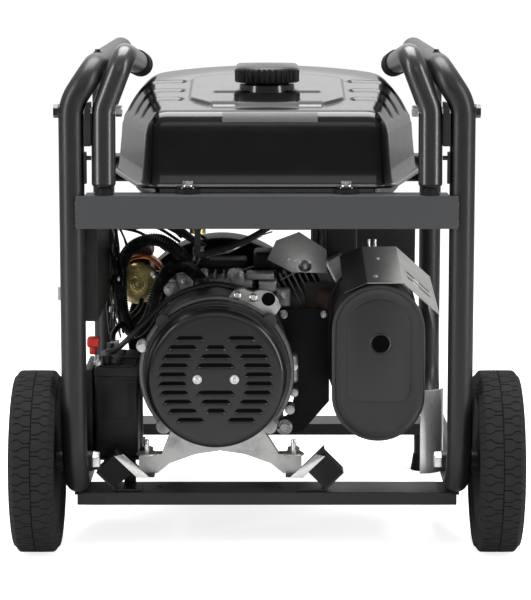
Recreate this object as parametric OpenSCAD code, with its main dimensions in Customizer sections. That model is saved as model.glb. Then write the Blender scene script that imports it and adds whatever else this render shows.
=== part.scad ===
// Open-frame portable generator on two wheels.
// The alternator end faces -Y, +X is to the right of it and +Z is up; the floor is Z = 0.

/* [Tube frame] */
// Length between the upright centres of one side loop
frame_l = 644; // [620:1:720]
// Width between the centres of the two side loops
frame_w = 520; // [510:1:560]
// Outer diameter of the frame tube
tube_d = 34; // [30:0.5:36]
// Wall of the frame tube
tube_wall = 2; // [1.2:0.1:3]
// Height of the bottom run's underside above the floor
frame_floor = 80; // [70:1:90]
// Centre height of the frame's top run
frame_top = 668; // [664:1:680]
// Height at which the uprights lean inward
lean_z = 620; // [616:1:624]
// Inward lean of the upper uprights, in degrees
lean_a = 33; // [28:1:34]
// Centreline radius of the bottom bends
bend_r = 70; // [60:1:80]
// Centreline radius of the top bends
top_bend_r = 38; // [34:1:40]

/* [Cross members] */
// Height of the upper cross plates' top face
plate_z = 499; // [497:1:500]
// Height of an upper cross plate
plate_h = 44; // [36:1:50]
// Sheet thickness of the cross plates and crossbars
sheet_t = 3; // [2:0.5:3]
// Depth of a cross plate's flanges
plate_flange = 50; // [44:1:54]
// Depth of a bottom crossbar
bar_w = 70; // [64:1:76]
// Height of a bottom crossbar
bar_h = 18; // [14:1:22]
// Distance from the frame's middle to the outer edge of the front crossbar
bar_front_out = 262; // [256:1:264]
// Distance from the frame's middle to the outer edge of the rear crossbar
bar_rear_out = 300; // [290:1:302]
// Diameter of the tie-down holes in the front crossbar
tie_hole_d = 9; // [7:0.5:11]
// Spacing of the two tie-down holes
tie_spacing = 170; // [150:1:190]

/* [Wheels and feet] */
// Tyre outer diameter
tyre_d = 250; // [240:1:256]
// Tyre width
tyre_w = 60; // [50:1:66]
// Gap between the frame tube and the tyre
tyre_gap = 8; // [6:1:12]
// Tread lugs round the tyre
tread_count = 30; // [20:1:40]
// Depth of the tread
tread_depth = 5; // [3:0.5:6]
// Diameter of the rim where the tyre sits
rim_d = 168; // [150:1:180]
// Diameter of the stub axle
axle_d = 16; // [12:0.5:16]
// Running clearance of the hub on the stub axle, on the radius
axle_fit = 0.05; // [0.03:0.01:0.1]
// Distance of the axle inboard of the near upright's centre
axle_in = 57.4; // [54:0.1:62]
// Spokes in a rim
spokes = 6; // [5:1:8]
// Height of the rubber foot under a rear leg
foot_h = 26; // [20:1:32]
// Distance of a rear foot from the middle plane
foot_x = 246; // [236:1:248]

/* [Handles] */
// Outer diameter of the handle tube
handle_d = 32; // [28:0.5:33]
// Distance of the handle stub inside the side loop's centre
handle_in = 43; // [41:1:44]
// Height of the handle pivot
pivot_z = 610; // [607:1:613]
// Wall of the handle tube
handle_wall = 1.8; // [1.5:0.1:2.5]
// Length of the stub under the pivot
stub_l = 97; // [90:1:98]
// Height of the arm's centreline above the pivot before it droops
arm_rise = 75; // [72:1:80]
// Length of the arm behind the pivot
arm_l = 430; // [400:1:440]
// Droop of the stored arm, in degrees
arm_droop = 4.5; // [4:0.5:6]
// Inward lean of the handle above the pivot, in degrees
handle_lean = 21; // [20:1:23]
// Length of the rubber grip
grip_l = 120; // [90:1:140]
// Thickness of the rubber grip
grip_t = 2.5; // [1.5:0.1:3]
// Diameter of the pivot bolt
pivot_d = 10; // [8:0.5:12]

/* [Fuel tank] */
// Distance between the side loop's centre and the tank's near corner
tank_near_in = 100; // [95:1:110]
// Distance between the side loop's centre and the tank behind its taper
tank_far_in = 55; // [54:1:60]
// Length of the tapered part of the tank
tank_taper_l = 270; // [240:1:300]
// Distance from the frame's middle to the tank's near face
tank_near = 298; // [292:1:300]
// Distance from the frame's middle to the tank's far face
tank_far = 288; // [280:1:292]
// Height of the seam flange's underside above the cross plate
tank_seat = 6; // [5:0.5:8]
// Height of the tank's walls above the seam
tank_wall_h = 98; // [92:1:100]
// Height of the crown above the walls
tank_crown = 46; // [44:1:48]
// Depth of the side ribs pressed into the top
rib_depth = 8; // [5:0.5:9]
// Half width of a side rib
rib_half = 13; // [11:0.5:14]
// Depth of the lower pan under the seam
pan_h = 38; // [30:1:40]
// Sheet thickness of the tank
tank_t = 2; // [1.5:0.1:2.5]
// Outer diameter of the filler neck
neck_d = 66; // [58:1:70]
// Outer diameter of the fuel cap
cap_d = 90; // [82:1:94]
// Distance of the filler from the frame's middle, towards the near end
cap_near = 139; // [132:1:146]

/* [Alternator] */
// Distance of the shaft axis to the left of the middle plane
shaft_left = 70; // [66:1:72]
// Height of the shaft axis
shaft_z = 240; // [238:1:244]
// Distance from the frame's middle to the end cover's face
cover_near = 272; // [268:1:278]
// Diameter of the end cover
cover_d = 198; // [190:1:204]
// Depth of the end cover
cover_h = 38; // [36:1:42]
// Pitch of the louvre rows
louvre_pitch = 12.6; // [11.6:0.1:12.8]
// Height of a louvre
louvre_h = 7.6; // [5:0.1:8]
// Outer radius of the stator pack
stator_r = 98; // [94:1:99]
// Length of the stator pack
stator_l = 190; // [170:1:192]
// Outer radius of the rotor
rotor_r = 70; // [60:1:72]
// Air gap between the rotor and the stator
air_gap = 1; // [0.6:0.1:1.5]
// Diameter of the crankshaft's journals
shaft_d = 30; // [26:1:32]

/* [Engine] */
// Width of the crankcase
case_w = 150; // [140:1:152]
// Length of the crankcase along the shaft
case_l = 170; // [160:1:172]
// Height of the engine's base above the floor
base_z = 122; // [120:1:124]
// Slope of the cylinder above the horizontal, in degrees
cyl_a = 27; // [24:1:30]
// Bore of the cylinder
cyl_bore = 80; // [70:1:82]
// Edge of a square cooling fin
fin_w = 112; // [100:1:114]
// Thickness of a cooling fin
fin_t = 2.6; // [2:0.1:3.2]
// Pitch of the cooling fins
fin_pitch = 8.5; // [7.5:0.1:9]
// Outer radius of the fan shroud
shroud_r = 145; // [138:1:148]
// Depth of the fan shroud
shroud_l = 74; // [70:1:76]
// Outer radius of the flywheel
flywheel_r = 100; // [90:1:104]

/* [Muffler] */
// Width of the muffler
muffler_w = 129; // [120:1:132]
// Height of the muffler
muffler_h = 219; // [210:1:224]
// Length of the muffler
muffler_l = 225; // [200:1:228]
// Distance of the muffler's centre to the right of the middle plane
muffler_x = 153.5; // [150:0.5:156]
// Height of the muffler's centre
muffler_z = 257.5; // [255:0.5:260]
// Distance from the frame's middle to the muffler's near face
muffler_near = 245; // [240:1:250]
// Bore of the exhaust outlet
outlet_d = 26; // [20:1:30]

/* [Electrics] */
// Room between the battery and the stator
battery_gap = 9.5; // [8:0.5:14]
// Length of the battery
battery_l = 150; // [130:1:156]
// Height of the battery
battery_h = 130; // [120:1:134]
// Depth of the control box
panel_d = 34; // [28:1:36]
// Length of the control box
panel_l = 350; // [320:1:356]
// Height of the control box
panel_h = 128; // [110:1:129]

/* [Hidden] */
$fn = 48;

seat_gap = 0.2;     // clearance of a piece against a round seat
run_gap = 0.4;      // clearance between moving neighbours

half_l = frame_l / 2;
half_w = frame_w / 2;
tube_r = tube_d / 2;
near_end = -(half_l - axle_in) - tyre_d / 2;
far_end = half_l + tube_r + sheet_t;
tie_mid = -65;
latch_drop = 62;
lean_from = 2;                            // where the handle leans in, above its pivot
arm_x = -(arm_rise - lean_from) * tan(handle_lean);
cover_screw_x = 25.5;
crank_throw = 32;
frame_mid = -(near_end + far_end) / 2;   // puts the origin under the middle of the whole box
bottom_z = frame_floor + tube_r;
lean_t = 18;                             // tangent length of the lean bend
tube_sides = 24;
top_x = half_w - (frame_top - lean_z) * tan(lean_a);
inner_x = half_w - tube_r;               // inner face of the side tubes
handle_x = half_w - handle_in;
bar_top = frame_floor;
axle_y = -(half_l - axle_in);
axle_z = tyre_d / 2;
tyre_in = half_w + tube_r + tyre_gap;
hub_l = tyre_w - 14;
shaft_x = -shaft_left;
seam_z = plate_z + tank_seat;
wall_top = seam_z + 4 + tank_wall_h;
crown_top = wall_top + tank_crown;
neck_top = crown_top - 10;
tank_near_w = half_w - tank_near_in;
tank_far_w = half_w - tank_far_in;
near_slope = 0.134;                       // rise of the tank's top behind its near edge
side_slope = 1.05;                        // rise of the tank's top inside its shoulders
crown_y = -tank_near + 340;               // where the crown is highest
crown_fall = 2.4;
shoulder = 9;                             // width of the shoulders on top of the walls
rib_r = (rib_half * rib_half + rib_depth * rib_depth) / (2 * rib_depth);
tank_bolt_x = 106;
tank_bolt_y = half_l - 14;
cap_y = -cap_near;
bracket_l = 22;
bracket_y = -cover_near + cover_h;
stator_y = bracket_y + bracket_l;
case_y = stator_y + stator_l + 4;
case_top = shaft_z + 88;
shroud_y = case_y + case_l + seat_gap;
shroud_side = 127;                        // the shroud is cut flat beyond this, towards the carburettor
recoil_y = shroud_y + shroud_l;
recoil_l = 34;
recoil_r = 96;
muffler_y = -muffler_near;
muffler_back = muffler_y + muffler_l;
mount_side = 34;                          // rubber block of an alternator mount
mount_l = 40;
mount_y = bracket_y - 22;
mount_c = mount_side / sqrt(2);           // half diagonal of the block
plate_t = 3;                              // steel plates of the mounts
mount_z = bar_top + mount_c + plate_t * sqrt(2);
feet_x = shaft_x + 5;                     // middle between the alternator's two feet
foot_dx = 102;
mount_dx = 145;
foot_boss_z = mount_z - 7.3;
battery_x = -inner_x + 3;
battery_w = shaft_x - stator_r - battery_gap - 2.5 - battery_x;
battery_y = -206;
battery_z = 117;
panel_z = plate_z - plate_h - panel_h - 2;
panel_x = -half_w - 2;
panel_y = -half_l + tube_r + seat_gap;
rope_r = 35;
rope_d = 5;

// Shifts the frame's middle so that the origin lies under the middle of the whole object.
module placed() translate([0, frame_mid, 0]) children();

// Mirrors a right-hand piece to the left when side is -1.
module on_side(side) mirror([side < 0 ? 1 : 0, 0, 0]) children();

// Round bar between two points.
module rod(p, q, d) {
    v = q - p;
    l = norm(v);
    translate(p) rotate([0, acos(v.z / l), atan2(v.y, v.x)]) cylinder(d = d, h = l);
}

// Puts a shape drawn in XY into the plane of Y and Z.
module in_yz() rotate([90, 0, 90]) children();

// Cylinder along X, and one along Y.
module bar_x(d, l) rotate([0, 90, 0]) cylinder(d = d, h = l);
module bar_y(d, l) rotate([-90, 0, 0]) cylinder(d = d, h = l);

// Flat outline with round corners, made of plain curves.
module round_rect(w, h, r) {
    translate([r, 0]) square([w - 2 * r, h]);
    translate([0, r]) square([w, h - 2 * r]);
    for (x = [r, w - r], y = [r, h - r]) translate([x, y]) circle(r);
}

// Sheet in the plane of X and Z, t thick towards +Y.
module sheet_xz(t) translate([0, t, 0]) rotate([90, 0, 0]) linear_extrude(t) children();

// Hexagon bolt with a washer along +Z: the head stands on z = 0 and the shank goes down.
module hex_bolt(d, l) {
    cylinder(d = 1.7 * d, h = 0.65 * d, $fn = 6);
    translate([0, 0, -1.6]) cylinder(d = 2.3 * d, h = 1.6);
    translate([0, 0, -l]) cylinder(d = d, h = l - 1);
}

// Round bar swept along points as one skin of n sides; ref is a direction the route never takes.
function unit(v) = v / norm(v);
function step_at(p, i, closed) = closed ? p[(i + 1) % len(p)] - p[(i + len(p) - 1) % len(p)]
    : p[min(i + 1, len(p) - 1)] - p[max(i - 1, 0)];
module sweep(p, d, n, ref, closed = false) {
    last = len(p) - 1;
    radius = d / 2 / cos(90 / n);
    turns = [for (k = [0 : n - 1]) 360 * (k + 0.5) / n];
    rings = [for (i = [0 : last])
        let (t = unit(step_at(p, i, closed)), u = unit(ref - (ref * t) * t), v = cross(t, u))
        for (a = turns) p[i] + radius * (u * cos(a) + v * sin(a))];
    ends = closed ? [] : [[for (k = [0 : n - 1]) k], [for (k = [n - 1 : -1 : 0]) last * n + k]];
    skin = [for (i = [0 : closed ? last : last - 1], k = [0 : n - 1]) let (j = (i + 1) % (last + 1))
        [i * n + k, j * n + k, j * n + (k + 1) % n, i * n + (k + 1) % n]];
    polyhedron(rings, concat(ends, skin), convexity = 8);
}

// Points of a quarter bend or less at corner c, from direction -a to direction b, with tangent length t.
function bend(c, a, b, t, n = 8) = let (turn = acos(unit(a) * unit(b)), r = t / tan(turn / 2),
    centre = c - t * unit(a) + r * unit(unit(b) - (unit(a) * unit(b)) * unit(a)))
    [for (k = [0 : n]) let (w = k * turn / n, u = c - t * unit(a) - centre)
        centre + cos(w) * u + r * sin(w) * unit(a)];

// Smooth points along a route: each pair of route points is joined by a cubic curve.
function route_slope(r, i) = (r[min(i + 1, len(r) - 1)] - r[max(i - 1, 0)]) / 2;
function on_route(r, i, t) = (2 * t * t * t - 3 * t * t + 1) * r[i]
    + (t * t * t - 2 * t * t + t) * route_slope(r, i)
    + (3 * t * t - 2 * t * t * t) * r[i + 1] + (t * t * t - t * t) * route_slope(r, i + 1);
function smooth_route(r, n) = concat([for (i = [0 : len(r) - 2], k = [0 : n - 1]) on_route(r, i, k / n)],
    [r[len(r) - 1]]);

// ---- Tube frame ----

// Near half of a side loop's centreline, from the middle of the bottom run to the middle of the top run.
function half_loop() = let (lean = [-sin(lean_a), 0, cos(lean_a)], up = [0, 0, 1], near = [0, -1, 0]) concat(
    bend([half_w, -half_l, bottom_z], near, up, bend_r),
    bend([half_w, -half_l, lean_z], up, lean, lean_t, 4),
    bend([top_x, -half_l, frame_top], lean, -near, top_bend_r));

// Whole closed centreline: the near half, then the same points mirrored to the far end.
function loop_points() = let (near = half_loop()) concat(near,
    [for (i = [len(near) - 1 : -1 : 0]) [near[i].x, -near[i].y, near[i].z]]);

module side_loop(side) placed() on_side(side) difference() {
    sweep(loop_points(), tube_d, tube_sides, [1, 0, 0], true);
    sweep(loop_points(), tube_d - 2 * tube_wall, tube_sides, [1, 0, 0], true);
    translate([half_w - tube_d, -half_l, pivot_z]) bar_x(pivot_d + 2 * seat_gap, 2 * tube_d);
}

module frame_left() color("#232323") side_loop(-1);
module frame_right() color("#232323") side_loop(1);

// Channel-shaped upper cross member; its web lies on the faces of the uprights.
module upper_member() {
    web_y = -half_l - tube_r - sheet_t;
    flange_w = 2 * (inner_x - seat_gap);
    translate([-half_w + 6, web_y, plate_z - plate_h]) cube([frame_w - 12, sheet_t, plate_h]);
    for (z = [plate_z - sheet_t, plate_z - plate_h])
        translate([-flange_w / 2, web_y, z])
            cube([flange_w, z > plate_z - plate_h ? plate_flange : 18, sheet_t]);
}

module tank_bolt_holes() for (x = [-tank_bolt_x, tank_bolt_x]) translate([x, -tank_bolt_y, plate_z - 10])
    cylinder(d = 8.4, h = 24);

module cross_plate() color("#474747") placed() difference() {
    upper_member();
    tank_bolt_holes();
}

module rear_plate() color("#303030") placed() mirror([0, 1, 0]) difference() {
    upper_member();
    tank_bolt_holes();
}

// Bottom crossbar of inverted channel section, from y to y + bar_w.
module crossbar(y) {
    translate([-half_w - 2, y, bar_top - sheet_t]) cube([frame_w + 4, bar_w, sheet_t]);
    for (leg = [y, y + bar_w - sheet_t])
        translate([-half_w - 2, leg, bar_top - bar_h]) cube([frame_w + 4, sheet_t, bar_h]);
}

module crossbars() color("#2b2b2b") placed() difference() {
    union() {
        crossbar(-bar_front_out);
        crossbar(bar_rear_out - bar_w);
    }
    for (s = [-1, 1]) translate([s * tie_spacing / 2 + tie_mid, -bar_front_out + bar_w / 2, bar_top - 10])
        cylinder(d = tie_hole_d, h = 20);
}

module rear_legs() color("#2b2b2b") placed() for (s = [-1, 1])
    translate([s * foot_x, bar_rear_out - bar_w / 2, 0]) {
        translate([0, 0, foot_h]) cylinder(d = 24, h = bar_top - sheet_t - foot_h);
        translate([0, 0, foot_h - 12]) cylinder(d = 8, h = 13);
    }

module rear_feet() color("#1c1c1c") placed() for (s = [-1, 1])
    translate([s * foot_x, bar_rear_out - bar_w / 2, 0]) difference() {
        cylinder(d1 = 34, d2 = 26, h = foot_h);
        translate([0, 0, foot_h - 12 - seat_gap]) cylinder(d = 8 + 2 * seat_gap, h = 13);
    }

// ---- Handles ----

// Centreline of the right-hand handle, drawn from the pivot before it droops.
function handle_points(end_l, stub) = let (lean = [-sin(handle_lean), 0, cos(handle_lean)]) concat(
    [[0, 0, -stub]], bend([0, 0, lean_from], [0, 0, 1], lean, 8, 4),
    bend([arm_x, 0, arm_rise], lean, [0, 1, 0], 26), [[arm_x, end_l, arm_rise]]);

// Puts a handle piece drawn from the pivot in its stored place.
module handle_place(side) placed() on_side(side)
    translate([handle_x, -half_l, pivot_z]) rotate([-arm_droop, 0, 0])
    children();

module handle(side) handle_place(side) difference() {
    sweep(handle_points(arm_l, stub_l), handle_d, tube_sides, [1, 0, 0]);
    sweep(handle_points(arm_l + 1, stub_l + 1), handle_d - 2 * handle_wall, tube_sides, [1, 0, 0]);
    translate([-handle_d, 0, 0]) bar_x(pivot_d + 0.1, 2 * handle_d);
    translate([0, 0, -latch_drop]) bar_x(7, handle_d);
    translate([-1.5 * handle_d, 0, 0]) bar_x(18, handle_d);
}

module handle_left() color("#1d1d1d") handle(-1);
module handle_right() color("#1d1d1d") handle(1);

// Rubber grip on the arm's end, and the plastic plug in the stub's end.
module grip(side) handle_place(side) {
    translate([arm_x, arm_l - grip_l, arm_rise]) difference() {
        bar_y(handle_d + 2 * grip_t, grip_l + 3);
        translate([0, -1, 0]) bar_y(handle_d + 2 * seat_gap, grip_l + 1.2);
    }
    translate([0, 0, -stub_l - 2.5]) cylinder(d = handle_d - 1, h = 2.5);
    translate([0, 0, -stub_l - 1]) cylinder(d = handle_d - 2 * handle_wall - 2 * seat_gap, h = 16);
}

module grip_left() color("#141414") grip(-1);
module grip_right() color("#141414") grip(1);

// Plates between the frame tubes and the handle stubs that carry the pivots.
module handle_brackets() color("#202020") placed() for (s = [-1, 1]) on_side(s) difference() {
    in_x = handle_x + handle_d / 2 + run_gap;
    lean_in_r = lean_t / tan(lean_a / 2) - tube_r;
    translate([0, -half_l - 13, 0]) sheet_xz(26) polygon(concat(
        [[in_x, pivot_z - 46], [inner_x - seat_gap, pivot_z - 46]],
        [for (a = [0 : 9 : 27])
            [inner_x - 2 * seat_gap - lean_in_r * (1 - cos(a)), lean_z - lean_t + lean_in_r * sin(a)]],
        [[in_x, lean_z - lean_t + lean_in_r * sin(27)]]));
    translate([handle_x, -half_l, pivot_z]) bar_x(pivot_d + 2 * seat_gap, 60);
}

module pivot_bolts() color("#b9bcc0") placed() for (s = [-1, 1]) on_side(s) translate([0, -half_l, pivot_z]) {
    out_x = half_w + tube_r;
    in_x = handle_x - handle_d / 2;
    translate([in_x - 9, 0, 0]) bar_x(pivot_d, out_x - in_x + 10);
    translate([out_x + seat_gap, 0, 0]) rotate([0, 90, 0]) cylinder(d = 18, h = 6, $fn = 6);
    translate([in_x - 8.4, 0, 0]) rotate([0, 90, 0]) cylinder(d = 15, h = 8, $fn = 6);
}

// Spring latch between the tubes; its pin enters the stub's hole when it is pressed in.
module latch(side) placed() on_side(side) {
    latch_z = pivot_z - latch_drop * cos(arm_droop);
    latch_y = -half_l - latch_drop * sin(arm_droop);
    translate([inner_x - 3.2, latch_y - 7, latch_z - 34]) cube([3, 14, 42]);
    translate([handle_x + handle_d / 2 + run_gap, latch_y, latch_z])
        bar_x(6, inner_x - 3.2 - handle_x - handle_d / 2);
}
module latch_left() color("#8d9094") latch(-1);
module latch_right() color("#8d9094") latch(1);

// ---- Wheels ----

// Toothed disc that gives half of the tread, turned by a share of one lug.
module tread_disc(shift) rotate(shift * 360 / tread_count) linear_extrude(tyre_w / 2 + 0.01) {
    circle(tyre_d / 2 - tread_depth, $fn = 120);
    for (k = [0 : tread_count - 1]) rotate(k * 360 / tread_count)
        translate([0, -0.31 * PI * tyre_d / tread_count])
            square([tyre_d / 2 + 1, 0.62 * PI * tyre_d / tread_count]);
}

// Revolved envelope of the tyre with rounded shoulders.
module tyre_body(d) rotate_extrude($fn = 120) difference() {
    translate([rim_d / 2, 0]) round_rect((d - rim_d) / 2, tyre_w, 12);
    translate([rim_d / 2 - 1, 9]) square([17, tyre_w - 18]);
}

module tyre(side) placed() on_side(side) translate([tyre_in, axle_y, axle_z]) rotate([0, 90, 0]) {
    intersection() {
        tyre_body(tyre_d);
        union() {
            tread_disc(0);
            translate([0, 0, tyre_w / 2]) tread_disc(0.5);
        }
    }
}
module tyre_left() color("#161616") tyre(-1);
module tyre_right() color("#161616") tyre(1);

module rim(side) placed() on_side(side) translate([tyre_in, axle_y, axle_z]) rotate([0, 90, 0]) difference() {
    union() {
        rotate_extrude($fn = 120) {
            translate([rim_d / 2 - 12, 9]) square([12, tyre_w - 18]);
            translate([0, 7]) square([23, hub_l]);
        }
        translate([0, 0, 9]) rotate_extrude($fn = 120)
            translate([rim_d / 2, 0]) square([15.5, 0.1 + tyre_w - 18.2]);
        for (k = [0 : spokes - 1]) rotate(k * 360 / spokes)
            translate([20, -8, tyre_w / 2 - 9]) cube([rim_d / 2 - 28, 16, 18]);
    }
    translate([0, 0, -1]) cylinder(d = axle_d + 2 * axle_fit, h = tyre_w + 2);
}
module rim_left() color("#202020") rim(-1);
module rim_right() color("#202020") rim(1);

// Gussets in the loop's near bottom corners, with the boss that holds the stub axle.
module axle_brackets() color("#2a2a2a") placed() for (s = [-1, 1]) on_side(s) difference() {
    union() {
        translate([half_w - 3, 0, 0]) in_yz() linear_extrude(6) intersection() {
            translate([-half_l + bend_r, bottom_z + bend_r]) circle(bend_r - tube_r - run_gap, $fn = 96);
            translate([-half_l, bottom_z])
                polygon([[0, 0], [bend_r + 30, 0], [bend_r + 30, 36], [36, bend_r + 30],
                [0, bend_r + 30]]);
        }
        translate([half_w - 20, axle_y, axle_z]) bar_x(axle_d + 12, tyre_in + 6.4 - half_w + 20);
    }
    translate([0, axle_y, axle_z]) bar_x(axle_d + 0.1, 400);
    translate([half_w, -half_l + bend_r, bottom_z + bend_r]) in_yz() rotate_extrude($fn = 96)
        translate([bend_r, 0]) circle(tube_r + run_gap);
}

module stub_axles() color("#a9acb0") placed() for (s = [-1, 1]) on_side(s) translate([0, axle_y, axle_z]) {
    translate([half_w - 26, 0, 0]) bar_x(axle_d, tyre_in + tyre_w - half_w + 22);
    translate([half_w - 30.2, 0, 0]) rotate([0, 90, 0]) cylinder(d = 26, h = 10, $fn = 6);
    translate([tyre_in + 7 + hub_l + run_gap, 0, 0]) bar_x(30, 2);
    translate([tyre_in + 7 + hub_l + run_gap + 2, 0, 0]) rotate([0, 90, 0]) cylinder(d = 24, h = 5, $fn = 6);
}

// ---- Fuel tank ----

// Plan of the tank, set in by inset.
module tank_plan(inset, near_cut = 0, far_cut = 0) offset(r = 22, $fn = 32)
    offset(delta = -22 - inset) polygon([
    [-tank_near_w, -tank_near + near_cut], [tank_near_w, -tank_near + near_cut],
    [tank_far_w, -tank_near + tank_taper_l], [tank_far_w, tank_far - far_cut],
    [-tank_far_w, tank_far - far_cut], [-tank_far_w, -tank_near + tank_taper_l]]);

// Upper shell of the tank, t inside its outer skin.
module tank_crown_form(t) hull() {
    translate([0, 0, seam_z + 4]) linear_extrude(1) tank_plan(t);
    translate([0, 0, wall_top - 12 - t]) linear_extrude(1) tank_plan(t);
    translate([0, 0, wall_top - t]) linear_extrude(1) tank_plan(t + shoulder);
    translate([0, 0, crown_top - 10 - t]) linear_extrude(1) tank_plan(t + 44, 235, 74);
    translate([0, crown_y, crown_top - 1 - t]) rotate([-crown_fall, 0, 0]) translate([0, -crown_y, 0])
        linear_extrude(1) tank_plan(t + 120, 217, 20);
}

// Centreline of the round cut of a side rib, a distance behind the near face.
function rib_line(back, s) = let (y = -tank_near + back, z = wall_top + rib_r - rib_depth,
    h = near_slope * (back - 9),
    half = tank_near_w + (tank_far_w - tank_near_w) * min(back / tank_taper_l, 1) - shoulder)
    [[s * 112, y, z + h], [s * (half - h / side_slope - 2), y, z + h], [s * (half + 24), y, z - 27]];

// Side ribs of the top, as round cuts grown by t.
module tank_ribs(t) for (back = [95, 156, 225], s = [-1, 1])
    sweep(rib_line(back, s), 2 * (rib_r + t), 16, [0, 1, 0]);

module tank_pan_form(t) hull() {
    translate([0, 0, seam_z - 1]) linear_extrude(1) tank_plan(t + 26, 18, 18);
    translate([0, 0, seam_z - pan_h + t]) linear_extrude(1) tank_plan(t + 44, 30, 30);
}

module fuel_tank() color("#101010") placed() difference() {
    union() {
        difference() {
            tank_crown_form(0);
            tank_ribs(0);
        }
        tank_pan_form(0);
        translate([0, 0, seam_z]) linear_extrude(4) tank_plan(-8);
        for (x = [-tank_bolt_x, tank_bolt_x], y = [-tank_bolt_y, tank_bolt_y]) translate([x, y, seam_z])
            cylinder(d = 30, h = 4);
        translate([0, cap_y, wall_top]) cylinder(d = neck_d, h = neck_top - wall_top);
    }
    difference() {
        tank_crown_form(tank_t);
        tank_ribs(tank_t);
    }
    tank_pan_form(tank_t);
    translate([0, 0, seam_z - 3]) linear_extrude(9) tank_plan(46, 32, 32);
    translate([0, cap_y, wall_top - 20]) cylinder(d = neck_d - 2 * tank_t, h = 100);
    tank_bolt_holes();
    mirror([0, 1, 0]) tank_bolt_holes();
}

module filler_strainer() color("#3c3c3c") placed() translate([0, cap_y, 0]) {
    basket_r = neck_d / 2 - tank_t - seat_gap;
    translate([0, 0, neck_top]) difference() {
        cylinder(r = neck_d / 2, h = 1.5);
        translate([0, 0, -1]) cylinder(r = basket_r - 3, h = 4);
    }
    translate([0, 0, neck_top - 62]) difference() {
        cylinder(r = basket_r, h = 62);
        translate([0, 0, 1.5]) cylinder(r = basket_r - 1.5, h = 64);
    }
}

// Cap with a ribbed rim and a low domed top; it lifts off the neck.
module fuel_cap() color("#1a1a1a") placed() translate([0, cap_y, neck_top + 1.5 + seat_gap]) difference() {
    rim_r = cap_d / 2 - 1.5;
    dome_r = cap_d / 2 - 4;
    union() {
        rotate_extrude($fn = 120) polygon(concat([[0, -6], [rim_r, -6], [rim_r, 12], [rim_r - 2, 14]],
            [for (a = [0 : 15 : 90]) [dome_r * cos(a), 14 + 5 * sin(a)]]));
        for (k = [0 : 35]) rotate(k * 10) translate([cap_d / 2 - 6, -1.6, -5]) cube([6, 3.2, 16]);
    }
    translate([0, 0, -7]) cylinder(d = neck_d + 3, h = 7);
}

module fuel_valve() color("#c8a24a") placed() translate([-96, -200, 0]) {
    top = seam_z - pan_h;
    translate([0, 0, top - 12]) cylinder(d = 14, h = 12);
    translate([0, 0, top - 34]) cylinder(d = 22, h = 22);
    translate([0, 0, top - 44]) cylinder(d = 8, h = 11);
}

module fuel_lever() color("#b02018") placed() translate([-96, -211 - run_gap, seam_z - pan_h - 23]) {
    rotate([90, 0, 0]) cylinder(d = 14, h = 5);
    translate([-4, -5, -26]) cube([8, 5, 26]);
}

module fuel_hose() color("#161616") placed() sweep(smooth_route(hose_route, 4), 9, 10, [1, 0, 0]);

// ---- Alternator ----

// Outline of one row of louvres at height z on the cover's face.
module louvre_row(z) {
    outer = sqrt(pow(cover_d / 2 - 20.5, 2) - z * z);
    inner = max(16, 40 - 0.0075 * z * z);
    for (s = [-1, 1]) translate([s * (inner + outer) / 2 - (outer - inner) / 2, z - louvre_h / 2])
        round_rect(outer - inner, louvre_h, louvre_h / 2 - 0.01);
    if (abs(z) > louvre_pitch && abs(z) < 4 * louvre_pitch)
        translate([-inner + 12, z - louvre_h / 2]) round_rect(2 * inner - 24, louvre_h, louvre_h / 2 - 0.01);
}

module alternator_cover() color("#1b1b1b") placed() translate([shaft_x, -cover_near, shaft_z]) difference() {
    rotate([-90, 0, 0]) rotate_extrude($fn = 120) difference() {
        polygon([[0, 0], [cover_d / 2 - 12, 0], [cover_d / 2 - 4, 3], [cover_d / 2, 11], [cover_d / 2,
            cover_h],
            [0, cover_h]]);
        polygon([[0, 2.5], [cover_d / 2 - 13, 2.5], [cover_d / 2 - 6, 5], [cover_d / 2 - 2.5, 12],
            [cover_d / 2 - 2.5, cover_h + 1], [0, cover_h + 1]]);
    }
    translate([0, -1, 0]) sheet_xz(6) for (k = [0 : 9]) louvre_row((k - 4.5) * louvre_pitch);
    for (s = [-1, 1]) translate([s * cover_screw_x, -1, 0]) bar_y(6.4, 10);
}

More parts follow.
